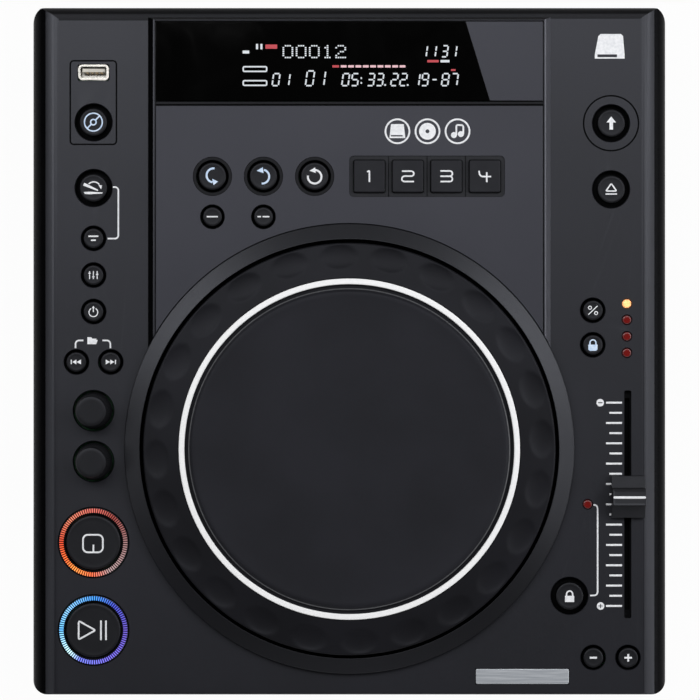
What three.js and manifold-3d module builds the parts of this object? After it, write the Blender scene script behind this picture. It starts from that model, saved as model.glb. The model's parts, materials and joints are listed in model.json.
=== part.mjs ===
// A tabletop disc player for DJs: a wedge-shaped housing with a jog wheel, push buttons,
// a pitch fader and a slot drive behind its front wall. Millimetres, +Z up, +Y to the rear.
import * as THREE from 'three';
import { mergeVertices } from 'three/addons/utils/BufferGeometryUtils.js';
import Module from 'manifold-3d';

const wasm = await Module();
wasm.setup();

// Clearances that serve the whole part
const fit = 0.3;
const overrun = 2;
const mergeDistance = 0.0001;

// Housing: the top panel slopes down to the front
const tiltDegrees = 4.5;
const tilt = THREE.MathUtils.degToRad(tiltDegrees);
const surroundRadius = 112.9;
const sideStrip = 47.1;
const frontMargin = 10.7;
const controlDepth = 109.5;
const wallHeight = 68;
const wall = 3;
const sideRound = 14;
const rearRound = 6.5;
const frontRound = 1.4;
const cornerRadius = 8;
const footHeight = 8;
const footRadius = 11;
const footTaper = 1.5;
const footInset = 32;
const panThickness = 1.5;
const panFlange = 14;
const standoffHeight = 5;
const standoffRadius = 3;

// Raised block behind the jog wheel, with its window and panel
const blockRise = 3;
const blockSlope = 3.4;
const blockRearSlope = 1.4;
const blockRim = 0.8;
const blockRearMargin = 5.4;
const blockInset = 10.7;
const panelSeam = 0.5;
const windowDepth = 40.2;
const windowRecess = 0.4;
const ledge = 7.5;

// Jog wheel, from the outside in
const surroundWidth = 8.1;
const surroundRise = 6.4;
const surroundEdge = 3.3;
const skirtThickness = 2;
const carrierThickness = 1.5;
const carrierDepth = 12;
const hubRadius = 12;
const hubHeight = 4;
const hubDepth = 6.5;
const rimGap = 2.4;
const rimWidth = 16.8;
const rimWall = 3.5;
const rimTop = 11.2;
const rimShoulder = 9.5;
const rimEdge = 6.2;
const webThickness = 3;
const webDrop = 2;
const rimFloorGap = 2;
const dimpleCount = 24;
const dimpleRadius = 9;
const dimpleDepth = 1.4;
const accentWidth = 3.5;
const accentRise = 0.2;
const plateRise = 1.2;
const plateBevel = 1.8;
const plateGap = 1.4;
const spindleRadius = 4.9;
const encoderRadius = 20;
const encoderThickness = 1;
const encoderDrop = 4.5;

// Push buttons: round caps with a skirt that fills their hole lower down
const largeButton = { cap: 6.9, hole: 9.6 };
const loopButton = { cap: 6.9, hole: 8 };
const smallButton = { cap: 5, hole: 6.4 };
const littleButton = { cap: 4.8, hole: 5.9 };
const capRise = 1.4;
const capBevel = 0.7;
const capStep = 1.4;
const skirtDepth = 7;
const buttonTravel = 0.8;
const padWidth = 15.7;
const padDepth = 16.3;
const padPitch = 19.3;
const padCorner = 1;
const padTrayBorder = 2.2;
const padTrayDepth = 0.8;
const switchSize = 6;

// Cue and play buttons inside their light rings
const lightRingRadius = 17.4;
const lightRingWidth = 3.3;
const lightRingRise = 1.6;
const lightRingDepth = 5;

// Knobs on their encoders
const knobTopRadius = 6.9;
const knobBaseRadius = 9.2;
const knobHeight = 16;
const knobBevel = 0.7;
const knobHoleGap = 1;
const knobShaftRadius = 3;
const knobShaftDepth = 6.5;
const encoderSize = 12;

// Pitch fader
const faderTravel = 100;
const faderRestOffset = 3.9;
const faderCapWidth = 16.8;
const faderCapLength = 21.2;
const faderRidgeLength = 8;
const faderCapBase = 1;
const faderCapEdge = 3.4;
const faderCapShoulder = 6.4;
const faderCapTop = 12;
const leverWidth = 1.8;
const leverLength = 6;
const leverDepth = 8;
const faderSlotWidth = 3.6;
const faderSlotSpare = 4.2;
const faderBodyWidth = 10;
const faderBodySpare = 6.5;
const faderBodyFloor = 1.6;

// Small parts on the panel
const usbWidth = 13.6;
const usbDepth = 6.2;
const usbWall = 0.5;
const usbLip = 0.9;
const usbLipThickness = 0.5;
const usbTongueThickness = 1.8;
const usbTongueRecess = 1.5;
const lampRadius = 2.1;
const lampRise = 0.3;
const lampStemRadius = 1.4;
const badgeWidth = 46.7;
const badgeDepth = 7.6;
const badgeRise = 0.5;
const badgePocket = 0.6;
const badgeFrontMargin = 9.1;

// Key boards under the panel
const boardThickness = 1.6;
const boardDrop = 10.4;
const leftBoardWidth = 33;
const rightBoardWidth = 37;
const boardEndMargin = 8;
const boardTab = 9;
const bossRadius = 2.4;
const displayBoardLap = 2;
const vfdWidth = 124;
const vfdDepth = 32;
const vfdHeight = 8;

// Places on the panel. Rows are shares of the panel's length from its centre,
// columns beside the jog wheel are shares of the strip from the surround to the side.
const rowShares = {
  usb: 0.4032, mode: 0.3309, scratch: 0.2355, bank: 0.1624, controller: 0.109, time: 0.0561,
  skip: -0.0171, search: -0.0879, track: -0.1616, cue: -0.2792, play: -0.4064,
  shift: 0.3296, eject: 0.2335, range: 0.0579, key: 0.0078, lock: -0.3567, bend: -0.4463,
  fader: -0.2237,
};
const columnShares = {
  left: 0.3312, shift: 0.395, range: 0.1996, lamp: 0.565, lock: -0.049,
  fader: 0.573, bendMinus: 0.2038, bendPlus: 0.5754, pitchLamp: 0.147, badge: -0.552,
};
const lampRowShares = [0.0676, 0.0442, 0.0202, -0.0038];
const skipSpread = 8.6;
// Places on the raised block: shares of its half width and of the depth behind the jog wheel
const loopColumnShares = [-0.704, -0.4416, -0.1783];
const padCentreShare = 0.4;
const loopRowShare = 0.2164;
const littleRowShare = 0.0311;
// Bosses under the panel that carry the boards, given in the same way
const leftBossShares = [[0.055, 0.283], [0.607, 0.283], [0.055, -0.213], [0.607, -0.213]];
const rightBossShares = [[0.15, 0.283], [0.66, 0.283], [0.16, -0.145], [0.385, -0.413]];
const displayBossShares = [0.105, 0.8];

// Slot drive in the front wall
const slotHeight = 42;
const slotWidth = 124;
const slotGap = 5.2;
const bezelBorder = 4;
const bezelFlange = 4;
const bezelFlangeThickness = 1.5;
const chassisWidth = 148;
const chassisHeight = 24;
const chassisWall = 1.5;
const chassisGap = 0.5;
const discRadius = 60;
const discThickness = 1.2;
const discFrontGap = 12;
const discRearGap = 12;
const deckDrop = 4.5;
const deckThickness = 1.5;
const deckFront = 14;
const turntableRadius = 13;
const turntableThickness = 1.6;
const centringRadius = 7.3;
const centringHeight = 2;
const driveShaftRadius = 2;
const motorRadius = 10;
const motorHeight = 3.5;
const rollerRadius = 3.8;
const rollerPlace = 7;
const rollerEndMargin = 14;
const journalRadius = 1.5;
const sledLength = 14;
const sledWidth = 23.4;
const sledTravel = 33;
const sledStart = 18;
const sledRail = 3.3;
const sledThickness = 1.9;
const sledRise = 0.9;
const lensRadius = 3;
const lensHeight = 1.2;
const chassisPostRadius = 4;
const chassisPostInset = 8;

// Rear wall with its sockets, and the boards behind it
const rearPanelMargin = 25;
const rearPanelHeight = 40;
const rearPanelBottom = 14;
const rearPanelThickness = 1.5;
const boardLength = 100;
const boardRearGap = 7;
const mainBoardWidth = 130;
const mainBoardMargin = 10;
const jackRadius = 4.15;
const jackBore = 1.7;
const jackReach = 9;
const jackPitch = 15;
const jackCount = 3;
const jackRise = 9;
const jackBlockHeight = 15;
const jackBlockDepth = 18;
const usbBWidth = 12;
const usbBHeight = 11;
const usbBDepth = 16;
const usbBOffset = 41;
const usbBWall = 1.6;
const usbBTongueWidth = 5.6;
const usbBTongueHeight = 3.2;
const chipSize = 22;
const chipHeight = 3;
const chipShares = [[-0.25, 0.5], [0.17, 0.7]];
const supplyBoardWidth = 62;
const boardGap = 33;
const transformerWidth = 40;
const transformerDepth = 34;
const transformerHeight = 28;
const capacitorRadius = 7;
const capacitorPitch = 21;
const capacitorHeight = 24;
const inletMargin = 48;
const inletWidth = 27;
const inletHeight = 20;
const inletDepth = 18;
const inletWall = 1.6;
const inletFlange = 3;
const inletFlangeThickness = 1.6;
const pinWidth = 2;
const pinHeight = 4;
const pinSpread = 7;
const pinRecess = 4;
const earthPinRise = 4;
const phasePinDrop = 2;
const rockerOffset = 28;
const rockerWidth = 10.6;
const rockerHeight = 15.2;
const rockerDepth = 3.5;
const rockerProud = 2.5;
const rockerDip = 1.1;
const rockerTiltDegrees = 8;
const rockerTilt = THREE.MathUtils.degToRad(rockerTiltDegrees);
const rockerWellWidth = 11.4;
const rockerWellHeight = 18;
const rockerWellDepth = 12;
const rockerFrame = 1.4;
const rockerPivotDepth = 1.5;

// Numbers of sides of round pieces
const jogSides = 48;
const ringSides = 28;
const largeSides = 20;
const buttonSides = 16;
const smallSides = 12;
const dimpleSides = 8;
const postSides = 8;

// Worked-out sizes of the housing
const halfWidth = surroundRadius + sideStrip;
const panelLength = frontMargin + 2 * surroundRadius + controlDepth;
const bodyDepth = panelLength * Math.cos(tilt);
const bodyCentre = -jackReach / 2;
const frontFace = bodyCentre - bodyDepth / 2;
const rearFace = bodyCentre + bodyDepth / 2;
const panelHeight = footHeight + wallHeight + (panelLength / 2) * Math.sin(tilt);
const jogRow = -panelLength / 2 + frontMargin + surroundRadius;
const panTop = footHeight + panThickness;
const blockRear = panelLength / 2 - blockRearMargin;
const blockHalfWidth = surroundRadius - blockInset;
const insetHalfWidth = blockHalfWidth - blockSlope - blockRim;
const windowRear = blockRear - blockRearSlope - blockRim;
const windowFront = windowRear - windowDepth;
const surroundRear = jogRow + surroundRadius;
const centreHalfWidth = insetHalfWidth - panelSeam;
const rearPanelWidth = 2 * (halfWidth - rearPanelMargin);
const mainBoardPlace = halfWidth - mainBoardMargin - mainBoardWidth / 2;
const supplyBoardPlace = mainBoardPlace - mainBoardWidth / 2 - boardGap - supplyBoardWidth / 2;
const usbBPlace = mainBoardPlace + usbBOffset;
const inletPlace = inletMargin - halfWidth;
const rockerPlace = inletPlace + rockerOffset;

function rowAt(share) {
  return share * panelLength;
}

function leftColumn(share) {
  return -(surroundRadius + share * sideStrip);
}

function rightColumn(share) {
  return surroundRadius + share * sideStrip;
}

// Finishes
function finish(colour, roughness, metalness) {
  return new THREE.MeshStandardMaterial({ color: colour, roughness, metalness });
}

const blackPlastic = finish(0x2a2a2e, 0.55, 0);
const panelPlastic = finish(0x37373b, 0.5, 0);
const capPlastic = finish(0x2e2e32, 0.6, 0);
const padRubber = finish(0x333337, 0.75, 0);
const glossBlack = finish(0x060607, 0.15, 0);
const vinyl = finish(0x232326, 0.7, 0);
const silver = finish(0xe8e8ea, 0.3, 0.6);
const steel = finish(0xb4b6b8, 0.35, 0.95);
const zincSheet = finish(0x8f9194, 0.45, 0.9);
const blackSteel = finish(0x1c1c1e, 0.5, 0.6);
const rubber = finish(0x161617, 0.9, 0);
const fibreBoard = finish(0x2f6b3c, 0.6, 0);
const cueLight = finish(0xd8492c, 0.3, 0);
const playLight = finish(0x3a62c8, 0.3, 0);

// Joining and cutting
function solidOf(geometry) {
  const bare = geometry.clone();
  bare.deleteAttribute('normal');
  bare.deleteAttribute('uv');
  const merged = mergeVertices(bare, mergeDistance);
  const corners = merged.index.array;
  const kept = [];
  for (let i = 0; i < corners.length; i += 3) {
    const [a, b, c] = corners.slice(i, i + 3);
    if (a !== b && b !== c && c !== a) kept.push(a, b, c);
  }
  return new wasm.Manifold(new wasm.Mesh({
    numProp: 3,
    vertProperties: new Float32Array(merged.attributes.position.array),
    triVerts: new Uint32Array(kept),
  }));
}

function geometryOf(solid) {
  const mesh = solid.getMesh();
  const geometry = new THREE.BufferGeometry();
  geometry.setAttribute('position', new THREE.BufferAttribute(mesh.vertProperties, mesh.numProp));
  geometry.setIndex(new THREE.BufferAttribute(mesh.triVerts, 1));
  geometry.computeVertexNormals();
  return geometry;
}

function joined(geometries) {
  return geometries.map(solidOf).reduce((whole, next) => whole.add(next));
}

function cut(solid, geometries) {
  return geometries.map(solidOf).reduce((whole, next) => whole.subtract(next), solid);
}

// Shapes that many pieces share
function span([x0, y0, z0], [x1, y1, z1]) {
  const geometry = new THREE.BoxGeometry(x1 - x0, y1 - y0, z1 - z0);
  return geometry.translate((x0 + x1) / 2, (y0 + y1) / 2, (z0 + z1) / 2);
}

function blockAt(x, y, width, depth, bottom, top) {
  return span([x - width / 2, y - depth / 2, bottom], [x + width / 2, y + depth / 2, top]);
}

function turned(profile, sides) {
  const points = profile.map(([radius, height]) => new THREE.Vector2(radius, height));
  return new THREE.LatheGeometry(points, sides).rotateX(Math.PI / 2);
}

function rod(radius, bottom, top, sides) {
  return turned([[0, bottom], [radius, bottom], [radius, top], [0, top]], sides);
}

function tube(inner, outer, bottom, top, sides) {
  const profile = [[inner, bottom], [outer, bottom], [outer, top], [inner, top], [inner, bottom]];
  return turned(profile, sides);
}

function rodAt(x, y, radius, bottom, top, sides) {
  return rod(radius, bottom, top, sides).translate(x, y, 0);
}

function roundedRectangle(width, depth, corner) {
  const x = width / 2 - corner;
  const y = depth / 2 - corner;
  const shape = new THREE.Shape();
  shape.absarc(x, -y, corner, -Math.PI / 2, 0);
  shape.absarc(x, y, corner, 0, Math.PI / 2);
  shape.absarc(-x, y, corner, Math.PI / 2, Math.PI);
  shape.absarc(-x, -y, corner, Math.PI, Math.PI * 1.5);
  shape.closePath();
  return shape;
}

function extruded(shape, bottom, top, curveSegments) {
  const depth = top - bottom;
  const geometry = new THREE.ExtrudeGeometry(shape, { depth, bevelEnabled: false, curveSegments });
  return geometry.translate(0, 0, bottom);
}

// Turns an outline drawn in (y, z) and extruded along x to its place
function alongX(geometry) {
  const axes = new THREE.Matrix4().makeBasis(
    new THREE.Vector3(0, 1, 0),
    new THREE.Vector3(0, 0, 1),
    new THREE.Vector3(1, 0, 0),
  );
  return geometry.applyMatrix4(axes);
}

function put(parent, name, form, material) {
  const geometry = form.isBufferGeometry ? form : geometryOf(form);
  const mesh = new THREE.Mesh(geometry, material);
  mesh.name = name;
  parent.add(mesh);
  return mesh;
}

// The tilted panel and the jog wheel on it have frames of their own
const player = new THREE.Group();
const panel = new THREE.Group();
panel.position.set(0, bodyCentre, panelHeight);
panel.rotation.x = tilt;
player.add(panel);
const jog = new THREE.Group();
jog.position.set(0, jogRow, 0);
panel.add(jog);

// The housing's outer form, or the space inside it, drawn in from each wall by an inset
function crossSection(inset) {
  const x = halfWidth - inset;
  const radius = sideRound - inset;
  const low = -(wallHeight + panelLength * Math.sin(tilt)) - overrun - wallHeight;
  const shape = new THREE.Shape();
  shape.moveTo(-x, low);
  shape.lineTo(x, low);
  shape.absarc(x - radius, -inset - radius, radius, 0, Math.PI / 2);
  shape.absarc(-x + radius, -inset - radius, radius, Math.PI / 2, Math.PI);
  shape.closePath();
  const length = panelLength * 2;
  return extruded(shape, -length / 2, length / 2, 3).rotateX(Math.PI / 2);
}

function sideProfile(inset) {
  const front = -panelLength / 2 + inset;
  const rear = panelLength / 2 - inset;
  const low = -(wallHeight + panelLength * Math.sin(tilt)) - overrun - wallHeight;
  const frontCurve = Math.max(frontRound - inset, frontRound / 2);
  const rearCurve = rearRound - inset;
  const lean = Math.tan(tilt);
  const shape = new THREE.Shape();
  shape.moveTo(front - wallHeight, low);
  shape.lineTo(rear + wallHeight, low);
  shape.lineTo(rear + wallHeight, -inset - rearCurve);
  shape.lineTo(rear - rearCurve * lean, -inset - rearCurve);
  shape.quadraticCurveTo(rear, -inset, rear - rearCurve, -inset);
  shape.lineTo(front + frontCurve, -inset);
  shape.quadraticCurveTo(front, -inset, front - frontCurve * lean, -inset - frontCurve);
  shape.lineTo(front - wallHeight, -inset - frontCurve);
  shape.closePath();
  const width = halfWidth * 2 + overrun;
  return alongX(extruded(shape, -width / 2, width / 2, 4));
}

function planPrism(inset, bottom) {
  const shape = roundedRectangle(2 * (halfWidth - inset), bodyDepth - 2 * inset, cornerRadius - inset);
  const top = panelLength;
  return extruded(shape, bottom - panelHeight, top, 2).rotateX(-tilt);
}

function bodyForm(inset, bottom) {
  const section = solidOf(crossSection(inset));
  return section.intersect(solidOf(sideProfile(inset))).intersect(solidOf(planPrism(inset, bottom)));
}

// Push buttons and where they sit
const loopRow = surroundRear + loopRowShare * controlDepth;
const littleRow = surroundRear + littleRowShare * controlDepth;
const padCentre = padCentreShare * centreHalfWidth;
const loopColumns = loopColumnShares.map((share) => share * centreHalfWidth);
const leftX = leftColumn(columnShares.left);

const leftButtons = [
  { name: 'mode_button', x: leftX, y: rowAt(rowShares.mode), kind: largeButton },
  { name: 'scratch_button', x: leftX, y: rowAt(rowShares.scratch), kind: largeButton },
  { name: 'bank_button', x: leftX, y: rowAt(rowShares.bank), kind: smallButton },
  { name: 'controller_button', x: leftX, y: rowAt(rowShares.controller), kind: smallButton },
  { name: 'time_button', x: leftX, y: rowAt(rowShares.time), kind: smallButton },
  { name: 'skip_back_button', x: leftX - skipSpread, y: rowAt(rowShares.skip), kind: smallButton },
  { name: 'skip_forward_button', x: leftX + skipSpread, y: rowAt(rowShares.skip), kind: smallButton },
];
const shiftX = rightColumn(columnShares.shift);
const rangeX = rightColumn(columnShares.range);
const lockX = rightColumn(columnShares.lock);
const bendMinusX = rightColumn(columnShares.bendMinus);
const bendPlusX = rightColumn(columnShares.bendPlus);
const bendRow = rowAt(rowShares.bend);
const rightButtons = [
  { name: 'shift_button', x: shiftX, y: rowAt(rowShares.shift), kind: largeButton },
  { name: 'eject_button', x: shiftX, y: rowAt(rowShares.eject), kind: largeButton },
  { name: 'pitch_range_button', x: rangeX, y: rowAt(rowShares.range), kind: smallButton },
  { name: 'key_lock_button', x: rangeX, y: rowAt(rowShares.key), kind: smallButton },
  { name: 'pitch_lock_button', x: lockX, y: rowAt(rowShares.lock), kind: largeButton },
  { name: 'bend_minus_button', x: bendMinusX, y: bendRow, kind: smallButton },
  { name: 'bend_plus_button', x: bendPlusX, y: bendRow, kind: smallButton },
];
const centreButtons = [
  { name: 'loop_in_button', x: loopColumns[0], y: loopRow, kind: loopButton },
  { name: 'loop_out_button', x: loopColumns[1], y: loopRow, kind: loopButton },
  { name: 'reloop_button', x: loopColumns[2], y: loopRow, kind: loopButton },
  { name: 'sample_button', x: loopColumns[0], y: littleRow, kind: littleButton },
  { name: 'sampler_play_button', x: loopColumns[1], y: littleRow, kind: littleButton },
];
const pads = [0, 1, 2, 3].map((index) => ({
  name: `pad_${index + 1}`,
  x: padCentre + (index - 1.5) * padPitch,
  y: loopRow,
}));
const lightedButtons = [
  { name: 'cue', x: leftX, y: rowAt(rowShares.cue), light: cueLight },
  { name: 'play', x: leftX, y: rowAt(rowShares.play), light: playLight },
];
const knobs = [
  { name: 'search_knob', x: leftX, y: rowAt(rowShares.search) },
  { name: 'track_knob', x: leftX, y: rowAt(rowShares.track) },
];
const lampX = rightColumn(columnShares.lamp);
const faderX = rightColumn(columnShares.fader);
const faderRow = rowAt(rowShares.fader);
const lamps = lampRowShares.map((share) => [lampX, rowAt(share)]);
lamps.push([rightColumn(columnShares.pitchLamp), faderRow]);
const usbRow = rowAt(rowShares.usb);
const badgeX = rightColumn(columnShares.badge);
const badgeRow = -panelLength / 2 + badgeFrontMargin;
const knobHoleRadius = knobBaseRadius + knobHoleGap;
const boardTop = -boardDrop;
const boardBottom = boardTop - boardThickness;

// Top shell: sides, front, rear and the panel, with the raised block and every hole
function raisedBlock() {
  const width = blockHalfWidth * 2;
  const geometry = span([-width / 2, jogRow, -wall / 2], [width / 2, blockRear, blockRise]);
  const places = geometry.attributes.position;
  for (let i = 0; i < places.count; i += 1) {
    if (places.getZ(i) > 0) {
      places.setX(i, places.getX(i) - Math.sign(places.getX(i)) * blockSlope);
      if (places.getY(i) > jogRow) places.setY(i, blockRear - blockRearSlope);
    }
  }
  return geometry;
}

function jogDisc(radius, bottom, top) {
  return rod(radius, bottom, top, jogSides).translate(0, jogRow, 0);
}

function insetPocket() {
  return span([-insetHalfWidth, jogRow, 0], [insetHalfWidth, windowRear, blockRise + overrun]);
}

function boardOpening() {
  const x = insetHalfWidth - ledge;
  const opening = solidOf(span([-x, jogRow, -wall - overrun], [x, windowRear - ledge / 2, blockRise]));
  const keptRing = surroundRadius + ledge / 2;
  return opening.subtract(solidOf(jogDisc(keptRing, -wall - overrun * 2, blockRise + overrun)));
}

function panelHoles() {
  const low = -wall - overrun;
  const holes = [...leftButtons, ...rightButtons].map(({ x, y, kind }) => (
    rodAt(x, y, kind.hole, low, overrun, buttonSides)
  ));
  for (const { x, y } of lightedButtons) {
    holes.push(rodAt(x, y, lightRingRadius + fit, low, overrun, ringSides));
  }
  for (const { x, y } of knobs) holes.push(rodAt(x, y, knobHoleRadius, low, overrun, buttonSides));
  for (const [x, y] of lamps) holes.push(rodAt(x, y, lampRadius + fit, low, overrun, postSides));
  const slotLength = faderTravel + leverLength + 2 * faderSlotSpare;
  holes.push(blockAt(faderX, faderRow, faderSlotWidth, slotLength, low, overrun));
  const usbX = usbWidth + 2 * usbLip + 2 * fit;
  const usbY = usbDepth + 2 * usbLip + 2 * fit;
  holes.push(blockAt(leftX, usbRow, usbX, usbY, low, overrun));
  const pocketWidth = badgeWidth + 2 * fit;
  holes.push(blockAt(badgeX, badgeRow, pocketWidth, badgeDepth + 2 * fit, -badgePocket, overrun));
  holes.push(jogDisc(surroundRadius - surroundWidth + skirtThickness + fit, low, blockRise + overrun));
  return holes;
}

function boardBosses() {
  const bossAt = (x, y) => rodAt(x, y, bossRadius, boardTop + fit, -wall / 2, postSides);
  const bosses = leftBossShares.map(([column, row]) => bossAt(leftColumn(column), rowAt(row)));
  bosses.push(...rightBossShares.map(([column, row]) => bossAt(rightColumn(column), rowAt(row))));
  for (const side of [-1, 1]) {
    for (const share of displayBossShares) {
      const y = surroundRear + share * controlDepth;
      bosses.push(bossAt(side * (insetHalfWidth - ledge / 2), y));
    }
  }
  return bosses;
}

// Turns geometry given in the housing's upright frame into the tilted panel's frame
function inPanelFrame(geometry) {
  return geometry.translate(0, -bodyCentre, -panelHeight).rotateX(-tilt);
}

function wallOpenings() {
  const bezelX = slotWidth / 2 + bezelBorder + fit;
  const bezelZ = slotGap / 2 + bezelBorder + fit;
  const front = span(
    [-bezelX, frontFace - overrun, slotHeight - bezelZ],
    [bezelX, frontFace + wall + overrun, slotHeight + bezelZ],
  );
  const rearX = rearPanelWidth / 2;
  const rear = span(
    [-rearX, rearFace - wall - overrun, rearPanelBottom],
    [rearX, rearFace + overrun, rearPanelBottom + rearPanelHeight],
  );
  return [inPanelFrame(front), inPanelFrame(rear)];
}

function topShell() {
  const blockEnd = jogDisc(surroundRadius + fit, fit / 2, blockRise + overrun);
  const block = cut(solidOf(raisedBlock()), [blockEnd, insetPocket()]);
  const outside = bodyForm(0, footHeight).add(block);
  const hollow = outside.subtract(bodyForm(wall, footHeight - overrun));
  const shell = joined(boardBosses()).add(hollow).subtract(boardOpening());
  return cut(shell, [...panelHoles(), ...wallOpenings()]);
}

put(panel, 'top_shell', topShell(), blackPlastic);

// Display window and centre panel, laid into the raised block
function displayWindow() {
  const top = blockRise - windowRecess;
  return span([-centreHalfWidth, windowFront, fit], [centreHalfWidth, windowRear - panelSeam, top]);
}

function centrePanel() {
  const rear = windowFront - panelSeam;
  const plate = span([-centreHalfWidth, jogRow, fit], [centreHalfWidth, rear, blockRise]);
  const low = -overrun;
  const high = blockRise + overrun;
  const cuts = [jogDisc(surroundRadius + fit, low, high)];
  for (const { x, y, kind } of centreButtons) cuts.push(rodAt(x, y, kind.hole, low, high, buttonSides));
  for (const { x, y } of pads) {
    cuts.push(blockAt(x, y, padWidth + 2 * fit, padDepth + 2 * fit, low, high));
  }
  const trayWidth = 3 * padPitch + padWidth + 2 * padTrayBorder;
  const tray = roundedRectangle(trayWidth, padDepth + 2 * padTrayBorder, padTrayBorder);
  cuts.push(extruded(tray, blockRise - padTrayDepth, high, 1).translate(padCentre, loopRow, 0));
  return cut(solidOf(plate), cuts);
}

put(panel, 'display_window', displayWindow(), glossBlack);
put(panel, 'centre_panel', centrePanel(), panelPlastic);

// Jog wheel surround, carrier plate with the bearing, and the turning parts
const skirtOuter = surroundRadius - surroundWidth + skirtThickness;
const wellRadius = surroundRadius - surroundWidth;
const rimRadius = wellRadius - rimGap;
const rimInner = rimRadius - rimWidth;
const accentOuter = rimInner - fit;
const accentInner = accentOuter - accentWidth;
const touchRadius = accentInner - plateGap;
const webTop = rimTop - webDrop;
const webBottom = webTop - webThickness;
const hubTop = -carrierDepth + hubHeight;

function jogSurround() {
  return turned([
    [wellRadius, -carrierDepth + fit],
    [skirtOuter, -carrierDepth + fit],
    [skirtOuter, fit],
    [surroundRadius, fit],
    [surroundRadius, surroundEdge],
    [wellRadius, surroundRise],
    [wellRadius, -carrierDepth + fit],
  ], jogSides);
}

function jogCarrier() {
  const bottom = -carrierDepth - carrierThickness;
  const disc = rod(skirtOuter, bottom, -carrierDepth, jogSides);
  const hub = rod(hubRadius, bottom - hubDepth, hubTop, buttonSides);
  const bore = rod(spindleRadius + fit, bottom - hubDepth - overrun, hubTop + overrun, buttonSides);
  return cut(joined([disc, hub]), [bore]);
}

function jogRim() {
  const inner = rimRadius - rimWall;
  const skirtBottom = -carrierDepth + rimFloorGap;
  const rim = turned([
    [inner, webBottom],
    [inner, skirtBottom],
    [rimRadius, skirtBottom],
    [rimRadius, rimEdge],
    [rimRadius - rimWall, rimShoulder],
    [rimInner, rimTop],
    [rimInner, webTop],
    [hubRadius / 2, webTop],
    [hubRadius / 2, webBottom],
    [inner, webBottom],
  ], jogSides);
  const hub = tube(spindleRadius + fit, hubRadius, hubTop + fit, webTop, buttonSides);
  const bore = rod(spindleRadius + fit, hubTop, webTop + overrun, buttonSides);
  const dimples = [];
  const dimpleRing = rimInner + rimWidth / 2 + rimWall / 2;
  const dimpleFloor = rimTop - (rimTop - rimShoulder) / 2;
  for (let i = 0; i < dimpleCount; i += 1) {
    const dimple = new THREE.SphereGeometry(1, dimpleSides, dimpleSides / 2).rotateX(Math.PI / 2);
    dimple.scale(dimpleRadius, rimWidth / 2 - rimWall / 2, dimpleDepth * 2);
    dimple.translate(0, dimpleRing, dimpleFloor + dimpleDepth);
    dimple.rotateZ((i * 2 * Math.PI) / dimpleCount);
    dimples.push(dimple);
  }
  return cut(joined([rim, hub]), [bore, ...dimples]);
}

function accentRing() {
  return tube(accentInner, accentOuter, webTop + fit, rimTop + accentRise, jogSides);
}

function touchPlate() {
  const bottom = webTop + fit;
  const top = rimTop + plateRise;
  const bevelFoot = top - plateBevel;
  return turned([
    [0, bottom], [touchRadius, bottom], [touchRadius, bevelFoot],
    [touchRadius - plateBevel, top], [0, top],
  ], jogSides);
}

function jogSpindle() {
  const discTop = -carrierDepth - carrierThickness - hubDepth - encoderDrop;
  return turned([
    [0, discTop - encoderThickness], [encoderRadius, discTop - encoderThickness],
    [encoderRadius, discTop], [spindleRadius, discTop], [spindleRadius, webTop], [0, webTop],
  ], buttonSides);
}

put(jog, 'jog_surround', jogSurround(), panelPlastic);
put(jog, 'jog_carrier', jogCarrier(), zincSheet);
put(jog, 'jog_rim', jogRim(), blackPlastic);
put(jog, 'jog_accent_ring', accentRing(), silver);
put(jog, 'jog_touch_plate', touchPlate(), vinyl);
put(jog, 'jog_spindle', jogSpindle(), steel);

// Caps of the push buttons
function buttonCap({ cap, hole }) {
  const skirt = hole - fit;
  return turned([
    [0, -skirtDepth], [skirt, -skirtDepth], [skirt, -capStep], [cap, -capStep],
    [cap, capRise - capBevel], [cap - capBevel, capRise], [0, capRise],
  ], buttonSides);
}

for (const { name, x, y, kind } of [...leftButtons, ...rightButtons]) {
  put(panel, name, buttonCap(kind), capPlastic).position.set(x, y, 0);
}
for (const { name, x, y, kind } of centreButtons) {
  put(panel, name, buttonCap(kind), capPlastic).position.set(x, y, blockRise);
}
for (const { name, x, y } of pads) {
  const cap = extruded(roundedRectangle(padWidth, padDepth, padCorner), -skirtDepth, capRise, 1);
  put(panel, name, cap, padRubber).position.set(x, y, blockRise);
}

// Cue and play: a clear ring stands in the panel, the button moves inside it
function lightRing() {
  const inner = lightRingRadius - lightRingWidth;
  const chamfer = lightRingWidth / 4;
  return turned([
    [inner, -lightRingDepth], [lightRingRadius, -lightRingDepth],
    [lightRingRadius, lightRingRise - chamfer], [lightRingRadius - chamfer, lightRingRise],
    [inner, lightRingRise], [inner, -lightRingDepth],
  ], ringSides);
}

function lightedCap() {
  const radius = lightRingRadius - lightRingWidth - fit;
  return turned([
    [0, -skirtDepth], [radius, -skirtDepth], [radius, capRise - capBevel],
    [radius - capBevel, capRise], [0, capRise],
  ], ringSides);
}

for (const { name, x, y, light } of lightedButtons) {
  put(panel, `${name}_light_ring`, lightRing(), light).position.set(x, y, 0);
  put(panel, `${name}_button`, lightedCap(), capPlastic).position.set(x, y, 0);
}

// Search and track knobs with their shafts
function knob() {
  return turned([
    [0, -knobShaftDepth], [knobShaftRadius, -knobShaftDepth], [knobShaftRadius, -capStep],
    [knobBaseRadius, -capStep], [knobBaseRadius, capStep],
    [knobTopRadius + knobBevel, knobHeight - knobBevel], [knobTopRadius, knobHeight], [0, knobHeight],
  ], largeSides);
}

for (const { name, x, y } of knobs) put(panel, name, knob(), capPlastic).position.set(x, y, 0);

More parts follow.
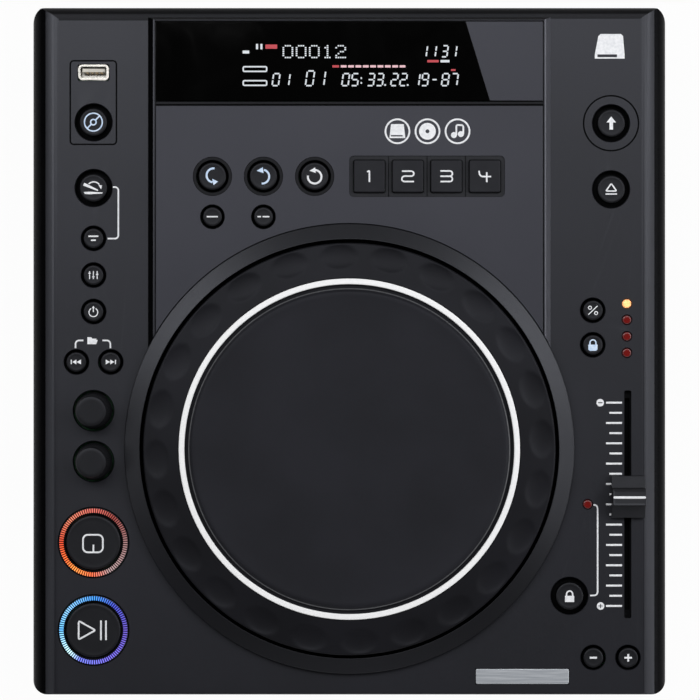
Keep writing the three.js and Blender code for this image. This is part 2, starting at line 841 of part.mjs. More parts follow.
// Pitch fader: the body under the panel, and the cap on its lever
function faderBody() {
  const length = faderTravel + leverLength + 2 * faderBodySpare;
  const body = blockAt(0, 0, faderBodyWidth, length, boardTop + fit, -wall - fit);
  const slotLength = faderTravel + leverLength + 2 * fit;
  const slotFloor = boardTop + faderBodyFloor;
  const slot = blockAt(0, 0, leverWidth + 2 * fit, slotLength, slotFloor, 0);
  return cut(solidOf(body), [slot]);
}

function faderCap() {
  const shape = new THREE.Shape();
  const end = faderCapLength / 2;
  const ridge = faderRidgeLength / 2;
  shape.moveTo(-end, faderCapBase);
  shape.lineTo(end, faderCapBase);
  shape.lineTo(end, faderCapEdge);
  shape.lineTo(ridge, faderCapShoulder);
  shape.lineTo(ridge, faderCapTop);
  shape.lineTo(-ridge, faderCapTop);
  shape.lineTo(-ridge, faderCapShoulder);
  shape.lineTo(-end, faderCapEdge);
  shape.closePath();
  const grip = alongX(extruded(shape, -faderCapWidth / 2, faderCapWidth / 2, 1));
  const lever = blockAt(0, 0, leverWidth, leverLength, -leverDepth, faderCapEdge);
  return joined([grip, lever]);
}

put(panel, 'pitch_fader_body', faderBody(), zincSheet).position.set(faderX, faderRow, 0);
put(panel, 'pitch_fader_cap', faderCap(), capPlastic).position.set(faderX, faderRow + faderRestOffset, 0);

// Socket for memory sticks, standing upright in the panel
function usbSocket() {
  const bottom = boardTop + fit;
  const shell = blockAt(0, 0, usbWidth, usbDepth, bottom, 0);
  const lip = blockAt(0, 0, usbWidth + 2 * usbLip, usbDepth + 2 * usbLip, -usbLipThickness, 0);
  const innerX = usbWidth - 2 * usbWall;
  const innerY = usbDepth - 2 * usbWall;
  const space = blockAt(0, 0, innerX, innerY, bottom + usbWall * 2, overrun);
  const tongueRear = innerY / 2 - usbWall;
  const tongue = span(
    [-innerX / 2 + usbWall, tongueRear - usbTongueThickness, bottom + usbWall],
    [innerX / 2 - usbWall, tongueRear, -usbTongueRecess],
  );
  return cut(joined([shell, lip]), [space]).add(solidOf(tongue));
}

put(panel, 'usb_socket', usbSocket(), steel).position.set(leftX, usbRow, 0);

// Blank name plate in its shallow pocket
const badgeBottom = fit - badgePocket;
const badge = blockAt(0, 0, badgeWidth, badgeDepth, badgeBottom, badgeRise);
put(panel, 'badge_plate', badge, steel).position.set(badgeX, badgeRow, 0);

// Key boards with a switch under each cap and an encoder under each knob
function switchUnder({ x, y }, surface) {
  const top = surface - skirtDepth - buttonTravel - fit;
  return blockAt(x, y, switchSize, switchSize, boardTop - boardThickness / 2, top);
}

function leftBoard() {
  const rear = usbRow + boardEndMargin;
  const front = lightedButtons[1].y - boardEndMargin;
  const half = leftBoardWidth / 2;
  const parts = [span([leftX - half, front, boardBottom], [leftX + half, rear, boardTop])];
  for (const button of [...leftButtons, ...lightedButtons]) parts.push(switchUnder(button, 0));
  for (const { x, y } of knobs) {
    const top = -knobShaftDepth - fit;
    parts.push(blockAt(x, y, encoderSize, encoderSize, boardTop - boardThickness / 2, top));
  }
  return joined(parts);
}

function rightBoard() {
  const right = faderX + faderBodyWidth;
  const left = right - rightBoardWidth;
  const rear = rightButtons[0].y + boardEndMargin;
  const front = bendRow - boardEndMargin;
  const lockButton = rightButtons[4];
  const parts = [span([left, front, boardBottom], [right, rear, boardTop])];
  const tabRear = lockButton.y + boardTab;
  parts.push(span([lockButton.x - boardTab, front, boardBottom], [right - fit, tabRear, boardTop]));
  for (const button of rightButtons) parts.push(switchUnder(button, 0));
  for (const [x, y] of lamps) {
    parts.push(rodAt(x, y, lampStemRadius, boardTop - boardThickness / 2, -wall, postSides));
    parts.push(rodAt(x, y, lampRadius, -wall - lampRise, lampRise, postSides));
  }
  return joined(parts);
}

function displayBoard() {
  const x = insetHalfWidth - fit;
  const front = surroundRear - displayBoardLap;
  const parts = [span([-x, front, boardBottom], [x, windowRear - fit, boardTop])];
  for (const button of [...centreButtons, ...pads]) parts.push(switchUnder(button, blockRise));
  const vfdRow = windowRear - windowDepth / 2;
  parts.push(blockAt(0, vfdRow, vfdWidth, vfdDepth, boardTop - fit, boardTop + vfdHeight));
  return joined(parts);
}

put(panel, 'left_key_board', leftBoard(), fibreBoard);
put(panel, 'right_key_board', rightBoard(), fibreBoard);
put(panel, 'display_board', displayBoard(), fibreBoard);

// Slot drive, in a frame whose origin is the middle of the slot in the housing's front face
const drive = new THREE.Group();
drive.position.set(0, frontFace, slotHeight);
player.add(drive);
const chassisFront = wall + fit + bezelFlangeThickness + chassisGap;
const discCentre = chassisFront + discFrontGap + discRadius;
const chassisRear = discCentre + discRadius + discRearGap;
const discBottom = -discThickness / 2;
const deckTop = -deckDrop;
const deckBottom = deckTop - deckThickness;

function slotBezel() {
  const x = slotWidth / 2 + bezelBorder;
  const z = slotGap / 2 + bezelBorder;
  const rear = wall + fit + bezelFlangeThickness;
  const face = span([-x, fit, -z], [x, rear, z]);
  const flangeX = x + bezelFlange;
  const flangeZ = z + bezelFlange;
  const flange = span([-flangeX, wall + fit, -flangeZ], [flangeX, rear, flangeZ]);
  const slot = span(
    [-slotWidth / 2, -overrun, -slotGap / 2],
    [slotWidth / 2, rear + overrun, slotGap / 2],
  );
  return cut(joined([face, flange]), [slot]);
}

function driveChassis() {
  const x = chassisWidth / 2;
  const z = chassisHeight / 2;
  const box = span([-x, chassisFront, -z], [x, chassisRear, z]);
  const inner = x - chassisWall;
  const space = span(
    [-inner, chassisFront - overrun, -z + chassisWall],
    [inner, chassisRear - chassisWall, z - chassisWall],
  );
  const side = inner + chassisWall / 2;
  const rear = chassisRear - chassisWall / 2;
  const deck = span([-side, chassisFront + deckFront, deckBottom], [side, rear, deckTop]);
  const motor = rodAt(0, discCentre, motorRadius, deckBottom - motorHeight, deckTop - fit, smallSides);
  const bore = rodAt(0, discCentre, driveShaftRadius + fit, -z + chassisWall, 0, postSides);
  const windowX = sledWidth / 2 + fit;
  const windowRearEdge = discCentre + sledStart + sledLength + sledTravel + 2 * fit;
  const sledWindow = span([-windowX, discCentre + sledStart, -z + chassisWall], [windowX, windowRearEdge, 0]);
  const journals = journalBores(x);
  return cut(cut(solidOf(box), [space]).add(joined([deck, motor])), [bore, sledWindow, journals]);
}

function rollerHeight() {
  return discBottom - rollerRadius;
}

function journalBores(x) {
  const bores = rod(journalRadius + fit, -x - overrun, x + overrun, postSides).rotateY(Math.PI / 2);
  return bores.translate(0, chassisFront + rollerPlace, rollerHeight());
}

function feedRoller() {
  const end = chassisWidth / 2 - chassisWall / 4;
  const grip = chassisWidth / 2 - rollerEndMargin;
  const roller = turned([
    [0, -end], [journalRadius, -end], [journalRadius, -grip], [rollerRadius, -grip],
    [rollerRadius, grip], [journalRadius, grip], [journalRadius, end], [0, end],
  ], smallSides);
  return roller.rotateY(Math.PI / 2);
}

function discSpindle() {
  const flangeBottom = discBottom - turntableThickness;
  return turned([
    [0, deckBottom - motorHeight], [driveShaftRadius, deckBottom - motorHeight],
    [driveShaftRadius, deckTop + fit], [driveShaftRadius * 2, deckTop + fit],
    [driveShaftRadius * 2, flangeBottom], [turntableRadius, flangeBottom],
    [turntableRadius, discBottom], [centringRadius, discBottom],
    [centringRadius - centringHeight / 2, discBottom + centringHeight], [0, discBottom + centringHeight],
  ], smallSides);
}

function laserSled() {
  const half = sledWidth / 2;
  const railTop = deckBottom - fit;
  const body = blockAt(0, 0, sledWidth, sledLength, railTop - fit, deckTop + sledRise);
  const rails = blockAt(0, 0, 2 * (half + sledRail), sledLength, railTop - sledThickness, railTop);
  const lens = rod(lensRadius, deckTop, deckTop + sledRise + lensHeight, smallSides);
  return joined([body, rails, lens]);
}

put(drive, 'slot_bezel', slotBezel(), glossBlack);
put(drive, 'drive_chassis', driveChassis(), zincSheet);
const roller = put(drive, 'feed_roller', feedRoller(), rubber);
roller.position.set(0, chassisFront + rollerPlace, rollerHeight());
put(drive, 'disc_spindle', discSpindle(), blackPlastic).position.set(0, discCentre, 0);
const sledRest = discCentre + sledStart + sledLength / 2 + fit;
put(drive, 'laser_sled', laserSled(), blackPlastic).position.set(0, sledRest, 0);

// Base pan with the posts that carry the boards and the drive
const postHeight = panTop + standoffHeight;
const boardRear = rearFace - boardRearGap;
const boardFront = boardRear - boardLength;

function boardPosts(centre, width) {
  const inset = 2 * standoffRadius;
  const posts = [];
  for (const side of [-1, 1]) {
    for (const y of [boardFront + inset, boardRear - inset]) {
      const x = centre + side * (width / 2 - inset);
      posts.push(rodAt(x, y, standoffRadius, panTop - panThickness / 2, postHeight, postSides));
    }
  }
  return posts;
}

function chassisPosts() {
  const posts = [];
  const top = slotHeight - chassisHeight / 2;
  for (const side of [-1, 1]) {
    for (const y of [chassisFront + chassisPostInset * 2, chassisRear - chassisPostInset]) {
      const x = side * (chassisWidth / 2 - chassisPostInset);
      posts.push(rodAt(x, frontFace + y, chassisPostRadius, panTop - panThickness / 2, top, postSides));
    }
  }
  return posts;
}

function basePan() {
  const inset = wall + fit;
  const width = 2 * (halfWidth - inset);
  const depth = bodyDepth - 2 * inset;
  const corner = cornerRadius - inset;
  const outer = extruded(roundedRectangle(width, depth, corner), footHeight, footHeight + panFlange, 1);
  const innerShape = roundedRectangle(
    width - 2 * panThickness,
    depth - 2 * panThickness,
    corner - panThickness,
  );
  const inner = extruded(innerShape, panTop, footHeight + panFlange + overrun, 1);
  outer.translate(0, bodyCentre, 0);
  inner.translate(0, bodyCentre, 0);
  const rearX = rearPanelWidth / 2 + fit;
  const rearNotch = span(
    [-rearX, rearFace - inset - panThickness - fit, rearPanelBottom - fit],
    [rearX, rearFace, footHeight + panFlange + overrun],
  );
  const posts = [
    ...boardPosts(mainBoardPlace, mainBoardWidth),
    ...boardPosts(supplyBoardPlace, supplyBoardWidth),
    ...chassisPosts(),
  ];
  return cut(solidOf(outer), [inner, rearNotch]).add(joined(posts));
}

put(player, 'base_pan', basePan(), blackSteel);

// Four rubber feet under the pan
function foot() {
  return turned([
    [0, 0], [footRadius - footTaper, 0], [footRadius, footHeight / 2],
    [footRadius, footHeight], [0, footHeight],
  ], smallSides);
}

const feet = [
  ['foot_front_left', -1, -1], ['foot_front_right', 1, -1],
  ['foot_rear_left', -1, 1], ['foot_rear_right', 1, 1],
];
for (const [name, sideX, sideY] of feet) {
  const x = sideX * (halfWidth - footInset);
  const y = bodyCentre + sideY * (bodyDepth / 2 - footInset);
  put(player, name, foot(), rubber).position.set(x, y, 0);
}

// Rear wall, in a frame whose origin is the foot of the housing's rear face
const rear = new THREE.Group();
rear.position.set(0, rearFace, 0);
player.add(rear);
const panelRow = rearPanelBottom + rearPanelHeight / 2;
const mainBoardTop = postHeight + boardThickness;
const partFoot = mainBoardTop - boardThickness / 2;
const jackHeight = mainBoardTop + jackRise;

function jackPlaces() {
  return Array.from({ length: jackCount }, (_, index) => (
    mainBoardPlace + (index - (jackCount - 1) / 2) * jackPitch
  ));
}

// A round bar that lies along y
function barAlongY(x, z, radius, front, back, sides) {
  return rod(radius, -back, -front, sides).rotateX(Math.PI / 2).translate(x, 0, z);
}

function rearPanel() {
  const outer = -fit;
  const inner = outer - rearPanelThickness;
  const x = rearPanelWidth / 2 - fit;
  const plate = span(
    [-x, inner, rearPanelBottom + fit],
    [x, outer, rearPanelBottom + rearPanelHeight - fit],
  );
  const frameX = rockerWellWidth / 2 + rockerFrame;
  const frameZ = rockerWellHeight / 2 + rockerFrame;
  const housing = span(
    [rockerPlace - frameX, -rockerWellDepth - rockerFrame, panelRow - frameZ],
    [rockerPlace + frameX, rockerFrame, panelRow + frameZ],
  );
  const well = span(
    [rockerPlace - rockerWellWidth / 2, -rockerWellDepth, panelRow - rockerWellHeight / 2],
    [rockerPlace + rockerWellWidth / 2, overrun * 2, panelRow + rockerWellHeight / 2],
  );
  const cuts = [well];
  for (const jackX of jackPlaces()) {
    cuts.push(barAlongY(jackX, jackHeight, jackRadius + fit, -wall, overrun, smallSides));
  }
  const usbX = usbBWidth / 2 + fit;
  cuts.push(span(
    [usbBPlace - usbX, inner - overrun, partFoot - fit],
    [usbBPlace + usbX, overrun, mainBoardTop + usbBHeight + fit],
  ));
  const inletX = inletWidth / 2 + fit;
  const inletZ = inletHeight / 2 + fit;
  cuts.push(span(
    [inletPlace - inletX, inner - overrun, panelRow - inletZ],
    [inletPlace + inletX, overrun, panelRow + inletZ],
  ));
  return cut(joined([plate, housing]), cuts);
}

function powerInlet() {
  const x = inletWidth / 2;
  const z = inletHeight / 2;
  const body = span([-x, -inletDepth, -z], [x, inletFlangeThickness, z]);
  const flangeX = x + inletFlange;
  const flangeZ = z + inletFlange;
  const flange = span([-flangeX, 0, -flangeZ], [flangeX, inletFlangeThickness, flangeZ]);
  const floor = -inletDepth + inletWall;
  const space = span(
    [-x + inletWall, floor, -z + inletWall],
    [x - inletWall, inletFlangeThickness + overrun, z - inletWall],
  );
  const pinAt = (pinX, pinZ) => span(
    [pinX - pinWidth / 2, floor - inletWall / 2, pinZ - pinHeight / 2],
    [pinX + pinWidth / 2, -pinRecess, pinZ + pinHeight / 2],
  );
  const pins = [pinAt(0, earthPinRise), pinAt(-pinSpread, -phasePinDrop), pinAt(pinSpread, -phasePinDrop)];
  return cut(joined([body, flange]), [space]).add(joined(pins));
}

function powerRocker() {
  const half = rockerHeight / 2;
  const shape = new THREE.Shape();
  shape.moveTo(-rockerDepth, -half);
  shape.lineTo(rockerProud, -half);
  shape.lineTo(rockerProud - rockerDip, 0);
  shape.lineTo(rockerProud, half);
  shape.lineTo(-rockerDepth, half);
  shape.closePath();
  return alongX(extruded(shape, -rockerWidth / 2, rockerWidth / 2, 1));
}

function mainBoard() {
  const x = mainBoardWidth / 2;
  const board = span(
    [mainBoardPlace - x, -boardRearGap - boardLength, postHeight],
    [mainBoardPlace + x, -boardRearGap, mainBoardTop],
  );
  const blockX = (jackCount * jackPitch) / 2;
  const blockRearFace = -rearPanelThickness - 2 * fit;
  const jackBlock = span(
    [mainBoardPlace - blockX, -jackBlockDepth, partFoot],
    [mainBoardPlace + blockX, blockRearFace, mainBoardTop + jackBlockHeight],
  );
  const usbShell = span(
    [usbBPlace - usbBWidth / 2, -usbBDepth, partFoot],
    [usbBPlace + usbBWidth / 2, 0, mainBoardTop + usbBHeight],
  );
  const parts = [board, jackBlock, usbShell];
  const cuts = [];
  for (const jackX of jackPlaces()) {
    parts.push(barAlongY(jackX, jackHeight, jackRadius, blockRearFace - overrun, jackReach, smallSides));
    cuts.push(barAlongY(jackX, jackHeight, jackBore, 0, jackReach + overrun, postSides));
  }
  for (const [widthShare, lengthShare] of chipShares) {
    const chipX = mainBoardPlace + widthShare * mainBoardWidth;
    const chipY = -lengthShare * boardLength;
    parts.push(blockAt(chipX, chipY, chipSize, chipSize, partFoot, mainBoardTop + chipHeight));
  }
  const usbRowHeight = mainBoardTop + usbBHeight / 2;
  const mouthX = usbBWidth / 2 - usbBWall;
  const mouthZ = usbBHeight / 2 - usbBWall;
  cuts.push(span(
    [usbBPlace - mouthX, -usbBDepth / 2, usbRowHeight - mouthZ],
    [usbBPlace + mouthX, overrun, usbRowHeight + mouthZ],
  ));
  const tongue = span(
    [usbBPlace - usbBTongueWidth / 2, -usbBDepth / 2 - usbBWall, usbRowHeight - usbBTongueHeight / 2],
    [usbBPlace + usbBTongueWidth / 2, -usbBWall, usbRowHeight + usbBTongueHeight / 2],
  );
  return cut(joined(parts), cuts).add(solidOf(tongue));
}

function powerSupply() {
  const x = supplyBoardWidth / 2;
  const board = span(
    [supplyBoardPlace - x, -boardRearGap - boardLength, postHeight],
    [supplyBoardPlace + x, -boardRearGap, mainBoardTop],
  );
  const transformerRow = -boardRearGap - transformerDepth;
  const transformerTop = partFoot + transformerHeight;
  const parts = [board, blockAt(
    supplyBoardPlace, transformerRow, transformerWidth, transformerDepth, partFoot, transformerTop,
  )];
  const capacitorRow = -boardRearGap - boardLength + 3 * capacitorRadius;
  for (const side of [-1, 1]) {
    const capacitorX = supplyBoardPlace + side * capacitorPitch / 2;
    const top = partFoot + capacitorHeight;
    parts.push(rodAt(capacitorX, capacitorRow, capacitorRadius, partFoot, top, smallSides));
  }
  return joined(parts);
}

put(rear, 'rear_panel', rearPanel(), blackSteel);
put(rear, 'power_inlet', powerInlet(), glossBlack).position.set(inletPlace, 0, panelRow);
const rocker = put(rear, 'power_rocker', powerRocker(), glossBlack);
rocker.position.set(rockerPlace, -rockerPivotDepth, panelRow);
rocker.rotation.x = -rockerTilt;
put(rear, 'main_board', mainBoard(), fibreBoard);
put(rear, 'power_supply', powerSupply(), fibreBoard);

export default player;
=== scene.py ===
import json
import math

import bpy
from mathutils import Matrix, Vector


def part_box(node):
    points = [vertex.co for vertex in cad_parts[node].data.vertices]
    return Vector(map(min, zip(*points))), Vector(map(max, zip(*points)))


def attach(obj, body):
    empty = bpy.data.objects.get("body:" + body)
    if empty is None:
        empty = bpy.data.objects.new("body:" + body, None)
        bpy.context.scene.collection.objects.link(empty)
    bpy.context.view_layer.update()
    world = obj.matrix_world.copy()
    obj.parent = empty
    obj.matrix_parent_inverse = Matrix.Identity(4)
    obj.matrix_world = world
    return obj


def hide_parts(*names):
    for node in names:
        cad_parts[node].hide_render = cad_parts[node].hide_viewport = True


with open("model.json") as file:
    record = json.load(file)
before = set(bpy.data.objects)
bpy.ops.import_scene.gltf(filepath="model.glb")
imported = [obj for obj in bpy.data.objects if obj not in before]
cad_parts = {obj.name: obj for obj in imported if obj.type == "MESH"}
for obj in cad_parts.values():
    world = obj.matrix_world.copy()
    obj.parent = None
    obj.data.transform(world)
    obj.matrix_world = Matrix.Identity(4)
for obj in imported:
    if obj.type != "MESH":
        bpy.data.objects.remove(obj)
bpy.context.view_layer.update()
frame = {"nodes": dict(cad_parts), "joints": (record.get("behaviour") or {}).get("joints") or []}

# The view: square on to the sloping control panel, from 1.6 m above it, as a catalogue shows it.
# The panel has a frame of its own: its origin is the jog wheel's centre, x to the right,
# v up the slope to the rear, and the rise out of the panel.
mm = 0.001
jog_axle = next(joint for joint in frame["joints"] if joint["name"] == "jog_spin")
slope = math.atan2(-jog_axle["axis"][1], jog_axle["axis"][2])
panel = Matrix.Translation(jog_axle["pos_m"]) @ Matrix.Rotation(slope, 4, "X")
panel_up = (panel.to_3x3() @ Vector((0, 0, 1))).normalized()
panel_back = panel.inverted()

view_distance, view_width, sensor_width = 1600, 351.7, 36
panel_middle = (0.35, 49.5)
bpy.ops.object.select_all(action="DESELECT")
bpy.ops.object.camera_add()
camera = bpy.context.object
camera.data.sensor_width = sensor_width
camera.data.lens = sensor_width * view_distance / view_width
camera.matrix_world = panel @ Matrix.Translation(Vector((*panel_middle, view_distance)) * mm)
bpy.context.scene.camera = camera
bpy.context.scene.view_settings.view_transform = "Standard"


# The studio: a pale floor that fades to white for the camera but still takes the shadow, and fabric-fronted
# softboxes: one overhead leaning to the rear, one behind each rear corner, one at each side, a low one
# on the right for the housing's rounded side, and a wide one low in front.
def srgb(red, green, blue):
    """A colour as a screen shows it, 0 to 255, turned into light."""
    return tuple(
        level / 3294.6 if level <= 10 else ((level / 255 + 0.055) / 1.055) ** 2.4 for level in (red, green, blue)
    )


def softbox(name, azimuth, lean, distance, width, height, radiance):
    """A rectangular softbox that faces the panel: azimuth from the right, lean from the panel's normal, degrees."""
    lamp = bpy.data.lights.new(name, "AREA")
    lamp.shape = "RECTANGLE"
    lamp.size, lamp.size_y = width, height
    lamp.energy = radiance * math.pi * width * height
    box = bpy.data.objects.new(name, lamp)
    bpy.context.scene.collection.objects.link(box)
    azimuth, lean = math.radians(azimuth), math.radians(lean)
    towards = Vector((math.sin(lean) * math.cos(azimuth), math.sin(lean) * math.sin(azimuth), math.cos(lean)))
    turn = towards.to_track_quat("Z", "Y").to_matrix().to_4x4()
    box.matrix_world = panel @ Matrix.Translation(towards * distance) @ turn
    box.visible_camera = False


softbox("overhead_softbox", 98, 23, 1.9, 1.5, 0.62, 3.85)
softbox("rear_right_softbox", 30, 46, 1.5, 0.85, 0.55, 5.4)
softbox("rear_left_softbox", 143, 46, 1.5, 0.7, 0.55, 4.9)
softbox("right_softbox", 350, 52, 1.6, 0.45, 1.1, 2.2)
softbox("left_softbox", 188, 46, 1.6, 0.3, 0.8, 1.5)
softbox("low_right_softbox", 0, 80, 1.5, 0.9, 0.3, 4.0)
softbox("front_softbox", 270, 68, 1.8, 1.8, 0.5, 1.2)

world = bpy.data.worlds.new("studio")
bpy.context.scene.world = world
world.use_nodes = True
world.node_tree.nodes["Background"].inputs["Color"].default_value = (1, 1, 1, 1)
world.node_tree.nodes["Background"].inputs["Strength"].default_value = 0.07


def feed(node, inputs):
    """Fills a node's inputs: a socket, or another node's first output, is linked, and anything else is a value."""
    for key, value in inputs.items():
        if isinstance(value, bpy.types.Node):
            value = value.outputs[0]
        if isinstance(value, bpy.types.NodeSocket):
            node.id_data.links.new(value, node.inputs[key])
        else:
            node.inputs[key].default_value = value


def add(beside, kind, inputs, **settings):
    """A new node, in the tree that another node or socket is in."""
    node = beside.id_data.nodes.new("ShaderNode" + kind)
    for name, value in settings.items():
        setattr(node, name, value)
    feed(node, inputs)
    return node


def new_material(name, inputs):
    """A material and its shader, with some inputs filled."""
    material = bpy.data.materials.new(name)
    material.use_nodes = True
    shader = material.node_tree.nodes["Principled BSDF"]
    feed(shader, inputs)
    return material, shader


bpy.ops.mesh.primitive_plane_add(size=14, location=(0, 0, 0))
floor = bpy.context.object
floor.name = "floor"
paper, matt = new_material("white_paper", {"Base Color": (0.6, 0.6, 0.6, 1), "Roughness": 0.9})
glow = add(matt, "Emission", {"Color": (1, 1, 1, 1), "Strength": 1.0})
rays = add(matt, "LightPath", {}).outputs
direct = add(matt, "Math", {0: rays["Is Camera Ray"], 1: rays["Is Transmission Ray"]}, operation="MAXIMUM")
mirrored = add(matt, "Math", {0: rays["Is Glossy Ray"], 1: 0.25}, operation="MULTIPLY")
share = add(matt, "Math", {0: direct, 1: 0.965, 2: mirrored}, operation="MULTIPLY_ADD")
blend = add(matt, "MixShader", {"Fac": share, 1: matt, 2: glow})
feed(paper.node_tree.nodes["Material Output"], {"Surface": blend})
floor.data.materials.append(paper)


# Housing: the top shell is one injection moulding in black ABS, a wedge with rounded sides and
# a block raised behind the jog wheel. Steel tools spark-eroded its fine grain. It is screwed to
# the base pan from below, and its holes have a small chamfer that leads the caps in.
def only(piece):
    """Selects one piece and makes it the active one."""
    bpy.ops.object.select_all(action="DESELECT")
    piece.select_set(True)
    bpy.context.view_layer.objects.active = piece


def block(name, low, high):
    """A rectangular block between two corners, in millimetres."""
    low, high = Vector(low), Vector(high)
    bpy.ops.object.select_all(action="DESELECT")
    bpy.ops.mesh.primitive_cube_add(size=1, location=(low + high) / 2 * mm, scale=(high - low) * mm)
    piece = bpy.context.object
    piece.name = name
    bpy.ops.object.transform_apply()
    return piece


def round_edges(piece, chosen, radius, steps=6):
    """Rounds the edges that are chosen by their middle, in mm, and their direction."""
    only(piece)
    bpy.context.tool_settings.mesh_select_mode = (False, True, False)
    shape = piece.data
    for part in (*shape.vertices, *shape.edges, *shape.polygons):
        part.select = False
    for edge in shape.edges:
        start, end = (shape.vertices[i].co for i in edge.vertices)
        edge.select = chosen((start + end) / 2 / mm, (end - start).normalized())
    bpy.ops.object.mode_set(mode="EDIT")
    bpy.ops.mesh.bevel(offset=radius * mm, segments=steps, profile=0.5, affect="EDGES")
    bpy.ops.object.mode_set(mode="OBJECT")


def upright(middle, along):
    """Chooses the upright edges."""
    return abs(along.z) > 0.9


def rounded_block(name, width, depth, corner, bottom, top, steps=5):
    """An upright block with rounded corners, centred on the origin."""
    piece = block(name, (-width / 2, -depth / 2, bottom), (width / 2, depth / 2, top))
    round_edges(piece, upright, corner, steps)
    return piece


def turned(name, profile, sides, ring=False):
    """A round piece from its (radius, height) profile, made like a pot: each point is an extrusion and a resize.
    A ring's profile comes back to its first point."""
    radius, height = profile[0]
    bpy.ops.object.select_all(action="DESELECT")
    bpy.ops.mesh.primitive_circle_add(
        vertices=sides, radius=radius * mm, location=(0, 0, height * mm), fill_type="NOTHING" if ring else "NGON",
    )
    piece = bpy.context.object
    piece.name = name
    bpy.ops.object.transform_apply()
    bpy.ops.object.mode_set(mode="EDIT")
    bpy.ops.mesh.select_all(action="SELECT")
    for wider, higher in profile[1:]:
        bpy.ops.mesh.extrude_region_move(TRANSFORM_OT_translate={"value": (0, 0, (higher - height) * mm)})
        bpy.ops.transform.resize(value=(wider / radius, wider / radius, 1), center_override=(0, 0, 0))
        radius, height = wider, higher
    bpy.ops.mesh.select_all(action="SELECT")
    bpy.ops.mesh.remove_doubles(threshold=1e-6)
    bpy.ops.mesh.normals_make_consistent(inside=False)
    bpy.ops.object.mode_set(mode="OBJECT")
    return piece


def halve(piece, point, side, **kept):
    """Cuts a piece along a plane and closes the cut."""
    only(piece)
    bpy.ops.object.mode_set(mode="EDIT")
    bpy.ops.mesh.select_all(action="SELECT")
    bpy.ops.mesh.bisect(plane_co=point, plane_no=side, use_fill=True, **kept)
    bpy.ops.object.mode_set(mode="OBJECT")


def soften(piece, width, steps=3, angle=30):
    """Rounds every sharp edge a little, and shades the curved faces as curved."""
    only(piece)
    if width:
        edges = piece.modifiers.new("Edges", "BEVEL")
        edges.width, edges.segments, edges.angle_limit = width * mm, steps, math.radians(angle)
        bpy.ops.object.modifier_apply(modifier="Edges")
    bpy.ops.object.shade_smooth_by_angle(angle=math.radians(angle + 5))
    weights = piece.modifiers.new("Weights", "WEIGHTED_NORMAL")
    weights.keep_sharp = True
    bpy.ops.object.modifier_apply(modifier="Weights")


def combine(piece, other, operation="DIFFERENCE"):
    """Cuts, joins or intersects a piece with another, which is used up."""
    only(piece)
    step = piece.modifiers.new("Combine", "BOOLEAN")
    step.operation, step.object, step.solver = operation, other, "EXACT"
    bpy.ops.object.modifier_apply(modifier="Combine")
    bpy.data.objects.remove(other)


def gather(name, pieces):
    """Makes several pieces one object."""
    bpy.ops.object.select_all(action="DESELECT")
    for piece in pieces:
        piece.select_set(True)
    bpy.context.view_layer.objects.active = pieces[0]
    if len(pieces) > 1:
        bpy.ops.object.join()
    pieces[0].name = name
    return pieces[0]


def shifted(x, y, z):
    """A move, in millimetres."""
    return Matrix.Translation(Vector((x, y, z)) * mm)


def settle(piece, place):
    """Moves a piece, with its new place in its mesh."""
    only(piece)
    piece.matrix_world = place
    bpy.ops.object.transform_apply()
    return piece


def lay(piece, x=0.0, v=0.0, rise=0.0):
    """Lays a piece made flat at the origin on the sloping panel."""
    return settle(piece, panel @ shifted(x, v, rise))


def seat(node):
    """The centre of a CAD node on the panel, as (x, v) in millimetres."""
    points = [panel_back @ vertex.co / mm for vertex in frame["nodes"][node].data.vertices]
    return tuple((min(p[i] for p in points) + max(p[i] for p in points)) / 2 for i in (0, 1))


def put_on(piece, material, body, slot, *nodes):
    """Gives a finished piece its material and its body, and hides the CAD nodes that it stands for; its slot is not
    used.
    """
    piece.data.materials.clear()
    piece.data.materials.append(material)
    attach(piece, body)
    if nodes:
        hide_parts(*nodes)
    return piece


def object_place(beside):
    """Object coordinates."""
    return add(beside, "TexCoord", {}).outputs["Object"]


def noise(place, scale, detail=2, distortion=0):
    """A cloudy factor."""
    return add(place, "TexNoise", {"Vector": place, "Scale": scale, "Detail": detail, "Distortion": distortion})


def spread(source, low, high, new_low, new_high):
    """A factor stretched from one range to another."""
    return add(source, "MapRange", {
        "Value": source, "From Min": low, "From Max": high, "To Min": new_low, "To Max": new_high})


def ramp(source, *stops):
    """A factor turned into colours, from stops of a position and a colour as a screen shows it."""
    colours = add(source, "ValToRGB", {"Fac": source})
    elements = colours.color_ramp.elements
    while len(elements) < len(stops):
        elements.new(0.5)
    for element, (position, colour) in zip(elements, stops):
        element.position, element.color = position, (*srgb(*colour), 1)
    return colours


def moulding(name, dark, light, roughness, grain=0.5, relief=0.02, cloud=60, specular=0.5):
    """Moulded plastic or rubber: cloudy tone, an eroded grain (mm) in relief, and roughness that wanders with it."""
    material, shader = new_material(name, {"Specular Tint": (0.86, 0.89, 1, 1), "Specular IOR Level": specular})
    place = object_place(shader)
    pores = noise(place, 1000 / grain)
    feed(shader, {
        "Base Color": ramp(noise(place, 1000 / cloud, 5), (0.36, dark), (0.64, light)),
        "Roughness": spread(pores, 0.3, 0.7, roughness - 0.04, roughness + 0.05),
        "Normal": add(shader, "Bump", {"Strength": 0.35, "Distance": relief * mm, "Height": pores}),
    })
    return material


shell_low, shell_high = (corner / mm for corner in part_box("top_shell"))
wall, side_round, rear_round, front_round, corner_radius = 3, 14, 6.5, 1.4, 8
block_rise, block_half_width, block_slope, block_rear = 3, 102.4, 3.9, 217
inset_half_width, plate_half_width, window_rear = 97.6, 97.1, 214.8
surround_radius, well_hole = 112.9, 107.1
chamfer = 0.35


